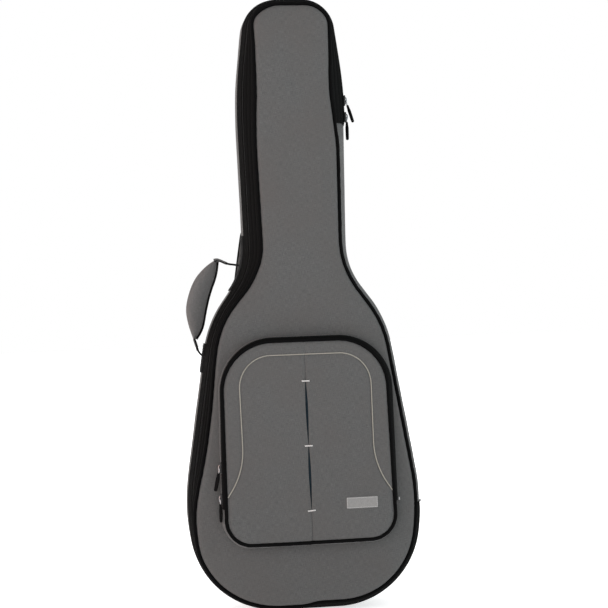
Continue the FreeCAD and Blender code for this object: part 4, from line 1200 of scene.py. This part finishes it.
# Carrying handle: chord from the upper to the lower anchor; s runs down the chord and n out of the bag.
handleSetup = {
    "top": (-117, 0, 626), "tilt": 20.8,
    "outer": [(-1, 27), (20, 43), (52, 55.5), (99, 53.5), (126, 40), (153, 18.5)],
    "inner": [(-1, 26), (28, 19.2), (62, 20.4), (96, 16.8), (128, 11.2), (153, 17.5)],
    "stations": 70, "around": 28, "thickness": 10.5, "thin": 2.6,
    "piping": 2.0, "strapWidth": 25, "strapTwist": 0.12, "strapPly": 1.0,
    "strips": {
        "handle_strap_top": [(1.2, 7.5), (1.0, 13), (0.2, 20), (0.6, 26.5), (3.5, 31)],
        "handle_strap_low": [(167, 6.4), (163, 9), (159, 11.8), (153, 16.5), (149.5, 19)],
    },
    "roots": {
        "handle_root_upper": [(-2, -14), (-1, -6), (0.5, 0), (1.2, 4.5), (1.2, 10)],
        "handle_root_lower": [(176, -12), (173.5, -5), (171.5, 0), (168.5, 4.5), (164.5, 8)],
    },
}
tilt = math.radians(handleSetup["tilt"])
chordDown = np.array([-math.sin(tilt), 0, -math.cos(tilt)])
chordOut = np.array([-math.cos(tilt), 0, math.sin(tilt)])


def onHandle(s, n, y=0.0):
    s, n, y = (values[..., None] for values in np.broadcast_arrays(s, n, y))
    return np.array(handleSetup["top"]) + s * chordDown + n * chordOut + y * acrossY


# Webbing strip along a line of (s, n) on the handle.
def handleStrip(name, line, across, ring, material, **tags):
    path = onHandle(line[:, 0], line[:, 1])
    return makeSweep(name, carryPath(path, across, ring), False, material, **tags)


# The grip: between its inner and outer curve each section is a teardrop, thin at the sewn inner edge.
def makeHandle():
    setup = handleSetup
    outer, inner = (smoothCurve(setup[key], setup["stations"]) for key in ("outer", "inner"))
    angle = np.arange(setup["around"]) / setup["around"] * 2 * np.pi
    share = (1 + np.cos(angle)) / 2  # 1 on the outer edge, 0 on the inner edge
    fat = np.sin(np.pi * np.linspace(0, 1, setup["stations"])) ** 0.45
    half = setup["thin"] + (setup["thickness"] - setup["thin"]) * share ** 0.7
    line = inner[:, None] + (outer - inner)[:, None] * share[None, :, None]
    grip = makeSweep(
        "handle_grip", onHandle(line[..., 0], line[..., 1], fat[:, None] * half * np.sin(angle)), False,
        gripFabric, body="handle", slot="grip_fabric", replaces=("handle_grip_cover", "handle_core"))
    tips = onHandle(np.array([-1.0, 153.0]), np.array([26.5, 18.0]))

    def held(spots):
        # both tips and the sewn inner edge stay
        near = np.minimum(*[np.linalg.norm(spots - tip, axis=1) for tip in tips])
        edge = distanceTo(spots[:, [0, 2]], onHandle(inner[:, 0], inner[:, 1])[:, [0, 2]])
        return (near < 8) | (edge < 3.5)

    swellLater(grip, held, 3.0, 2.0)
    handleStrip(
        "handle_edge_piping", inner[2:-2] - (0, 1.4), acrossY,
        roundProfile(setup["piping"] * 1.4, setup["piping"], 12), pipingBlack,
        body="handle", slot="black_webbing", replaces=("handle_piping",))
    for name, stops in setup["strips"].items():
        line = smoothCurve(stops, 24)
        ends = onHandle(*line[[0, -1]].T)
        lean = np.cross(acrossY, ends[1] - ends[0])
        across = acrossY + setup["strapTwist"] * lean / np.linalg.norm(lean)
        upper = name == "handle_strap_top"
        for suffix, ply, material, slot in (
            ("", -1 if upper else 1, greyWebbing, "shell_fabric"),
            ("_lining", 1 if upper else -1, blackWebbing, "black_webbing"),
        ):
            ring = roundProfile(setup["strapWidth"] / 2, 1.05, 16, 0.4) + (0, ply * setup["strapPly"])
            tags = {"replaces": ("handle_webbing",)} if upper and not suffix else {}
            handleStrip(name + suffix, line, across, ring, material, body="handle", slot=slot, **tags)


makeHandle()


# Reinforcement patches on the gusset under the handle's ends, following the wall, with box stitching.
anchorSetup = {
    "thickness": 1.6, "stitchInset": 4.0,
    "handle_patch_upper": {"z": (578, 676), "y": (-15.5, 34), "node": "handle_anchor_upper"},
    "handle_patch_lower": {"z": (432, 484), "y": (-15.5, 22), "node": "handle_anchor_lower"},
}


# Points on the side wall and their outward ways, lifted off it.
def onWall(s, y, lift):
    point, normal = bag[0](s)
    flat = point - normal * (gussetInset(y) - lift)[..., None]
    outwards = np.stack([normal[..., 0], 0 * y, normal[..., 1]], -1)
    return np.stack([flat[..., 0], y, flat[..., 1]], -1), outwards


def makeAnchor(name):
    patch, lift, gap = anchorSetup[name], anchorSetup["thickness"], anchorSetup["stitchInset"]
    low, high = (bag[1] - lengthAt(bag, patch["z"][k]) for k in (1, 0))
    y = np.linspace(*patch["y"], 14)
    outer = np.stack([y, gussetInset(y) - lift - 0.6], -1)
    profile = np.concatenate([outer, outer[::-1] + (0, lift + 1.5)])
    makeSweep(
        name, carryRound(bag, np.linspace(low, high, 24), profile), False, blackWebbing, body="case_back",
        slot="black_webbing", replaces=(patch["node"],))
    # the stitches go round the patch and then across it
    left, right = low + gap, high - gap
    front, back = patch["y"][0] + gap, patch["y"][1] - gap
    turns = np.array([
        (left, front), (right, front), (right, back), (left, back), (left, front), (right, back)])
    run = runningLength(turns, False)
    line = readAlong(np.linspace(0, run[-1], 160), run, turns)
    path, out = onWall(line[:, 0], line[:, 1], lift + 0.75)
    makeStitches(name + "_stitching", path, out, 3.4, 2.6, 0.6, threadBlack, body="case_back")


makeAnchor("handle_patch_upper")
makeAnchor("handle_patch_lower")


# Webbing root between each patch and the handle.
def makeRoot(name):
    stops = handleSetup["roots"][name]
    line = smoothCurve(stops, 20)
    ring = roundProfile(handleSetup["strapWidth"] / 2 + 0.3, 1.5, 16, 0.4)
    root = handleStrip(name, line, acrossY, ring, blackWebbing, slot="black_webbing")
    reach = np.array([0.5, stops[-1][1] - 1.0])  # two heights above the bag
    start, end = (tuple(place * mm) for place in onHandle(np.interp(reach, line[:, 1], line[:, 0]), reach))
    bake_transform(root)


makeRoot("handle_root_upper")
makeRoot("handle_root_lower")
print("handle made")


# Rucksack straps on the back: one bowed line in a leaning plane carries webbing, pad and adjuster.
strapSetup = {
    "topX": 44, "lowX": 112, "topZ": 752, "lowZ": 300, "depth": 86, "stations": 90,
    "line": [(1.6, 0), (28, -50), (46, -130), (46, -215), (38, -300)], "lowLift": 3.2,
    "padWidth": 62, "padThickness": 11, "padFrom": 0.115, "padTo": 0.70, "quilting": (0.25, 0.5, 0.75),
    "webbingWidth": 25, "webbing": 1.7, "binding": 2.0,
}


def strapPoints(side):
    setup = strapSetup
    run = np.array([side * (setup["lowX"] - setup["topX"]), 0, setup["lowZ"] - setup["topZ"]], float)
    chord = np.linalg.norm(run)
    line = smoothCurve(setup["line"] + [(setup["lowLift"], -chord)], setup["stations"])
    top = np.array([side * setup["topX"], setup["depth"], setup["topZ"]], float)
    return top + line[:, :1] * acrossY - line[:, 1:] * run / chord, np.cross(run / chord, acrossY)


# The pad's half width rounds off at both ends, and it is thinner along the three quilting lines.
def makeStrap(sideName, side):
    setup = strapSetup
    path, across = strapPoints(side)
    body = "strap_" + sideName
    ring = roundProfile(setup["webbingWidth"] / 2, setup["webbing"] / 2, 16, 0.4)
    makeSweep(
        "back_webbing_" + sideName, carryPath(path, across, ring), False, blackWebbing,
        body=body, slot="black_webbing", replaces=("strap_webbing_" + sideName,))
    count = setup["stations"]
    part = path[int(count * setup["padFrom"]):int(count * setup["padTo"])]
    run = runningLength(part, False)
    even = np.linspace(0, run[-1], 80)
    part = readAlong(even, run, part)
    toEnd = np.minimum(even, run[-1] - even)
    wide = np.clip(1 - np.clip(1 - toEnd / 32, 0, 1) ** 2, 0, 1) ** 0.5 * 0.62 + 0.38
    wide[[0, -1]] = 0.2
    halfWide, halfThick = setup["padWidth"] / 2 * wide, setup["padThickness"] / 2
    quilt = sum(np.exp(-((even / run[-1] - spot) / 0.012) ** 2) for spot in setup["quilting"])
    tall = np.clip(toEnd / 6, 0.15, 1) ** 0.5 * (1 - 0.45 * quilt)
    profile = roundProfile(1.0, 1.0, 28, 0.75)[None] * np.stack([halfWide, halfThick * tall], -1)[:, None]
    inward = np.cross(np.gradient(path, axis=0)[count // 2], across)
    offset = -np.sign(inward[1]) * (halfThick + 0.9)  # the pad lies on the outer side of the webbing
    profile[..., 1] += offset
    pad = makeSweep(
        "shoulder_pad_" + sideName, carryPath(part, across, profile), False, shellFabric,
        body=body, slot="shell_fabric", replaces=("strap_pad_" + sideName,))
    centre = carryPath(part, across, [(0, offset)])[:, 0]

    def held(spots):
        # the bound edges, the ends and the quilting lines stay
        fromMiddle = abs((spots - centre.mean(0)) @ across)
        where = np.linalg.norm(spots[:, None] - centre[None], axis=2).argmin(1)
        return (fromMiddle > halfWide[where] - 5) | (quilt[where] > 0.6) | (where < 3) | (where > 76)

    swellLater(pad, held, 3.0, 2.5)
    ring = roundProfile(setup["binding"] * 0.8, setup["binding"] * 1.4, 10)
    for edge, suffix in ((-1, "_a"), (1, "_b")):
        rim = np.stack([edge * (halfWide - 0.6), 0 * even + offset], -1)[:, None]
        makeSweep(
            "shoulder_binding_" + sideName + suffix,
            carryPath(carryPath(part, across, rim)[:, 0], across, ring), False, pipingBlack,
            body=body, slot="black_webbing")
    makeAdjuster(sideName, path, across)


# Ladder-lock adjuster: a rounded frame with two cross bars.
adjusterSetup = {"halfWidth": 18, "halfLength": 15, "radius": 2.3, "barGap": 5, "barLift": 2.7}


def makeAdjuster(sideName, path, across):
    setup = adjusterSetup
    node, name = "strap_adjuster_" + sideName, "ladder_lock_" + sideName
    middle = sum(boxCorners(node)) / 2
    way = (path[-1] - path[-12]) / np.linalg.norm(path[-1] - path[-12])
    out = np.cross(way, across)
    wide, long = setup["halfWidth"] - 1, setup["halfLength"] - 2
    outline = roundedOutline([(wide, -long, 3), (wide, long, 3)])
    point = outline[0](lengthsAlong(outline, 1.5))[0]
    ring = roundProfile(2.0, setup["radius"], 10, 0.7)
    loop = middle + point[:, :1] * across + point[:, 1:] * way
    makeSweep(
        name, carryPath(loop, out, ring, True), True, buckleAcetal, body=node, slot="buckle_plastic",
        replaces=(node,))
    for suffix, end in (("_bar1", -1), ("_bar2", 1)):
        bar = middle + np.linspace(-1, 1, 12)[:, None] * across * wide
        bar += end * (way * setup["barGap"] + out * setup["barLift"])
        makeSweep(
            name + suffix, carryPath(bar, out, roundProfile(1.2, 2.0, 10, 0.8)), False, buckleAcetal,
            body=node, slot="buckle_plastic")


makeStrap("left", -1)
makeStrap("right", 1)


# Sewn patches on the back: thin padded plates with a stitched edge.
def makeBackPatch(name, node, radius, stitchInset):
    low, high = boxCorners(node)
    half, middle = (high - low) / 2, (low + high) / 2
    outline = roundedOutline([(half[0], -half[2], radius), (half[0], half[2], radius)])
    origin = np.array([middle[0], low[1] - 1.2, middle[2]])
    axes, spine = [(1, 0, 0), (0, 0, 1), (0, 1, 0)], (-half[2] * 0.4, half[2] * 0.4)
    makePlate(
        name, outline, high[1] - low[1] + 1.4, 0.9, blackWebbing, origin, axes, 3, spine,
        body="case_back", slot="black_webbing", replaces=(node,))
    point, normal = outline[0](lengthsAlong(outline, 2))
    edge = point - normal * stitchInset
    path = np.stack([edge[:, 0] + middle[0], np.full(len(edge), high[1] + 0.3), edge[:, 1] + middle[2]], -1)
    makeStitches(name + "_stitching", path, acrossY, 3.6, 2.7, 0.6, threadBlack, body="case_back")


makeBackPatch("strap_harness_patch", "harness_patch", 10, 5)
makeBackPatch("strap_foot_patch_left", "strap_tab_left", 5, 4)
makeBackPatch("strap_foot_patch_right", "strap_tab_right", 5, 4)


# Hanging loop: webbing folded into a narrow U behind the head.
loopSetup = {
    "line": [(-16, 1048), (-17, 1020), (-12, 994), (0, 990), (12, 994), (17, 1020), (16, 1048)],
    "depth": 82.2, "bow": 1.2, "stations": 50,
}


def makeHangLoop():
    setup = loopSetup
    x, z = smoothCurve(setup["line"], setup["stations"]).T
    y = setup["depth"] + setup["bow"] * np.sin(np.pi * np.linspace(0, 1, setup["stations"]))
    ring = roundProfile(1.1, 4.8, 14, 0.5)
    makeSweep(
        "hang_loop_webbing", carryPath(np.stack([x, y, z], -1), acrossY, ring), False, blackWebbing,
        body="hang_loop", slot="black_webbing", replaces=("hang_loop",))


makeHangLoop()
print("back fittings made")


# Inside: neck cradle, its strap and patch, and the two end pads.
insideSetup = {
    "cradleLine": [
        (-46.5, 21.5), (-46.5, 44), (-40, 56.5), (-18, 57), (18, 57), (40, 56.5), (46.5, 44), (46.5, 21.5)],
    "cradleArm": 14.5, "cradleSeat": 6.6, "stations": 60,
}


# The cradle is thick in both arms and thinner in the seat, and its ends are rounded.
def makeCradle():
    setup, count = insideSetup, insideSetup["stations"]
    low, high = boxCorners("neck_cradle")
    line = smoothCurve(setup["cradleLine"], count)
    path = np.stack([line[:, 0], line[:, 1], np.full(count, (low[2] + high[2]) / 2)], -1)
    arm = np.clip((abs(line[:, 0]) - 26) / 18, 0, 1)
    thick = setup["cradleSeat"] + (setup["cradleArm"] - setup["cradleSeat"]) * arm
    station = np.arange(count)
    end = np.clip(np.minimum(station, count - 1 - station) / 3.0, 0.3, 1) ** 0.5
    half = np.stack([(high[2] - low[2]) / 2 * (0.9 + 0.1 * end), thick * end], -1)
    profile = roundProfile(1.0, 1.0, 32, 0.45)[None] * half[:, None]
    cradle = makeSweep(
        "neck_support", carryPath(path, (0, 0, 1), profile), False, plushLining,
        body="case_back", slot="lining", replaces=("neck_cradle",))


makeCradle()


# A slab that fills its node's box, with rounded edges; its face looks up from the base or forwards.
def makeInsidePad(name, node, material, edge, up=False, body="case_back", slot="black_webbing"):
    low, high = boxCorners(node)
    axes = np.array([(1, 0, 0), (0, 1, 0), (0, 0, 1)] if up else [(1, 0, 0), (0, 0, 1), (0, -1, 0)], float)
    halfU, halfV, thick = (abs(axes) @ (high - low)) * (0.5, 0.5, 1.0)
    radius = min(halfU, halfV) * 0.3
    outline = roundedOutline([(halfU, -halfV, radius), (halfU, halfV, radius)])
    rim = np.concatenate([
        roundedRim(0, edge, edge, -edge, 5)[::-1], roundedRim(0, thick - edge, edge * 1.6, edge, 6)])
    reach = halfV - min(halfU, halfV)
    flat, height = slabGrid(outline, lengthsAlong(outline, 3.0), rim, (-reach, reach), 9)
    origin = (low + high) / 2 - axes[2] * thick / 2
    return makeSlab(
        name, origin + np.concatenate([flat, height[..., None]], -1) @ axes, material,
        body=body, slot=slot, replaces=(node,))


makeInsidePad("end_pin_cushion", "end_pin_pad", plushLining, 2.5, up=True, slot="lining")
makeInsidePad("headstock_cushion", "headstock_pad", plushLining, 2.0, slot="lining")
makeInsidePad("neck_strap_hook", "neck_strap_patch", hookTape, 0.25)
makeInsidePad("neck_strap_webbing", "neck_strap_flap", blackWebbing, 0.8, body="neck_strap")
print("inside fittings made")


runSwelling()
print("padding swollen")


# Studio: pale floor that fades to white away from the bag, soft lights, warm from the left, cool from
# the right, and a white surround.
studioSetup = {
    "surround": 0.55, "floorSize": 40.0, "floorTone": 0.86,
    "glowNear": 0.66, "fadeFrom": 0.25, "fadeTo": 1.3,  # the floor's own light, and where it turns white
    "aim": (0.0, 0.0, 0.55),
    "lights": {
        "keyLight": {"place": (-1.4, -3.0, 1.4), "size": 2.2, "power": 38.0, "colour": (0.98, 0.985, 1.0)},
        "warmSide": {"place": (-3.2, -0.9, 1.0), "size": 1.4, "power": 26.0, "colour": (1.0, 0.55, 0.42)},
        "coolSide": {"place": (3.2, -1.2, 1.2), "size": 1.6, "power": 22.0, "colour": (0.62, 0.95, 1.0)},
        "backFill": {"place": (0.4, 3.6, 2.2), "size": 2.4, "power": 40.0, "colour": (1.0, 1.0, 1.0)},
    },
}


def makeStudio():
    setup = studioSetup
    half = setup["floorSize"] / 2
    mesh = bpy.data.meshes.new("studio_floor")
    corner = [(-half, -half, 0), (half, -half, 0), (half, half, 0), (-half, half, 0)]
    mesh.from_pydata(corner, [], [(0, 1, 2, 3)])
    floor = bpy.data.objects.new("studio_floor", mesh)
    bpy.context.scene.collection.objects.link(floor)
    material, tree, shader, coords = newMaterial("studioWhite")
    away = addNode(tree, "ShaderNodeVectorMath", {0: coords["Object"]}, operation="LENGTH").outputs["Value"]
    far = addNode(tree, "ShaderNodeMapRange", {0: away, 1: setup["fadeFrom"], 2: setup["fadeTo"]}).outputs[0]
    shader.inputs["Base Color"].default_value = (*[setup["floorTone"]] * 3, 1.0)
    shader.inputs["Roughness"].default_value = 0.9
    shader.inputs["Emission Strength"].default_value = 1.0
    glow = mixed(tree, far, (*[setup["glowNear"]] * 3, 1.0), (1.0, 1.0, 1.0, 1.0))
    tree.links.new(glow, shader.inputs["Emission Color"])
    mesh.materials.append(material)
    for name, light in setup["lights"].items():
        data = bpy.data.lights.new(name, "AREA")
        data.size = light["size"]
        data.energy = light["power"]
        data.color = light["colour"]
        lamp = bpy.data.objects.new(name, data)
        lamp.location = light["place"]
        aim = np.array(setup["aim"]) - np.array(light["place"])
        lamp.rotation_mode = "XYZ"
        lamp.rotation_euler = (
            math.atan2(math.hypot(aim[0], aim[1]), -aim[2]), 0.0, math.atan2(aim[1], aim[0]) - math.pi / 2)
        bpy.context.scene.collection.objects.link(lamp)
    world = bpy.data.worlds.new("studioSurround")
    world.use_nodes = True
    tree = world.node_tree
    background = tree.nodes["Background"]
    background.inputs["Color"].default_value = (1.0, 1.0, 1.0, 1.0)
    seen = addNode(tree, "ShaderNodeLightPath").outputs["Is Camera Ray"]
    tree.links.new(mixed(tree, seen, setup["surround"], 1.0, "FLOAT"), background.inputs["Strength"])
    bpy.context.scene.world = world
    bpy.context.scene.view_settings.view_transform = "Standard"


makeStudio()
print("studio made")
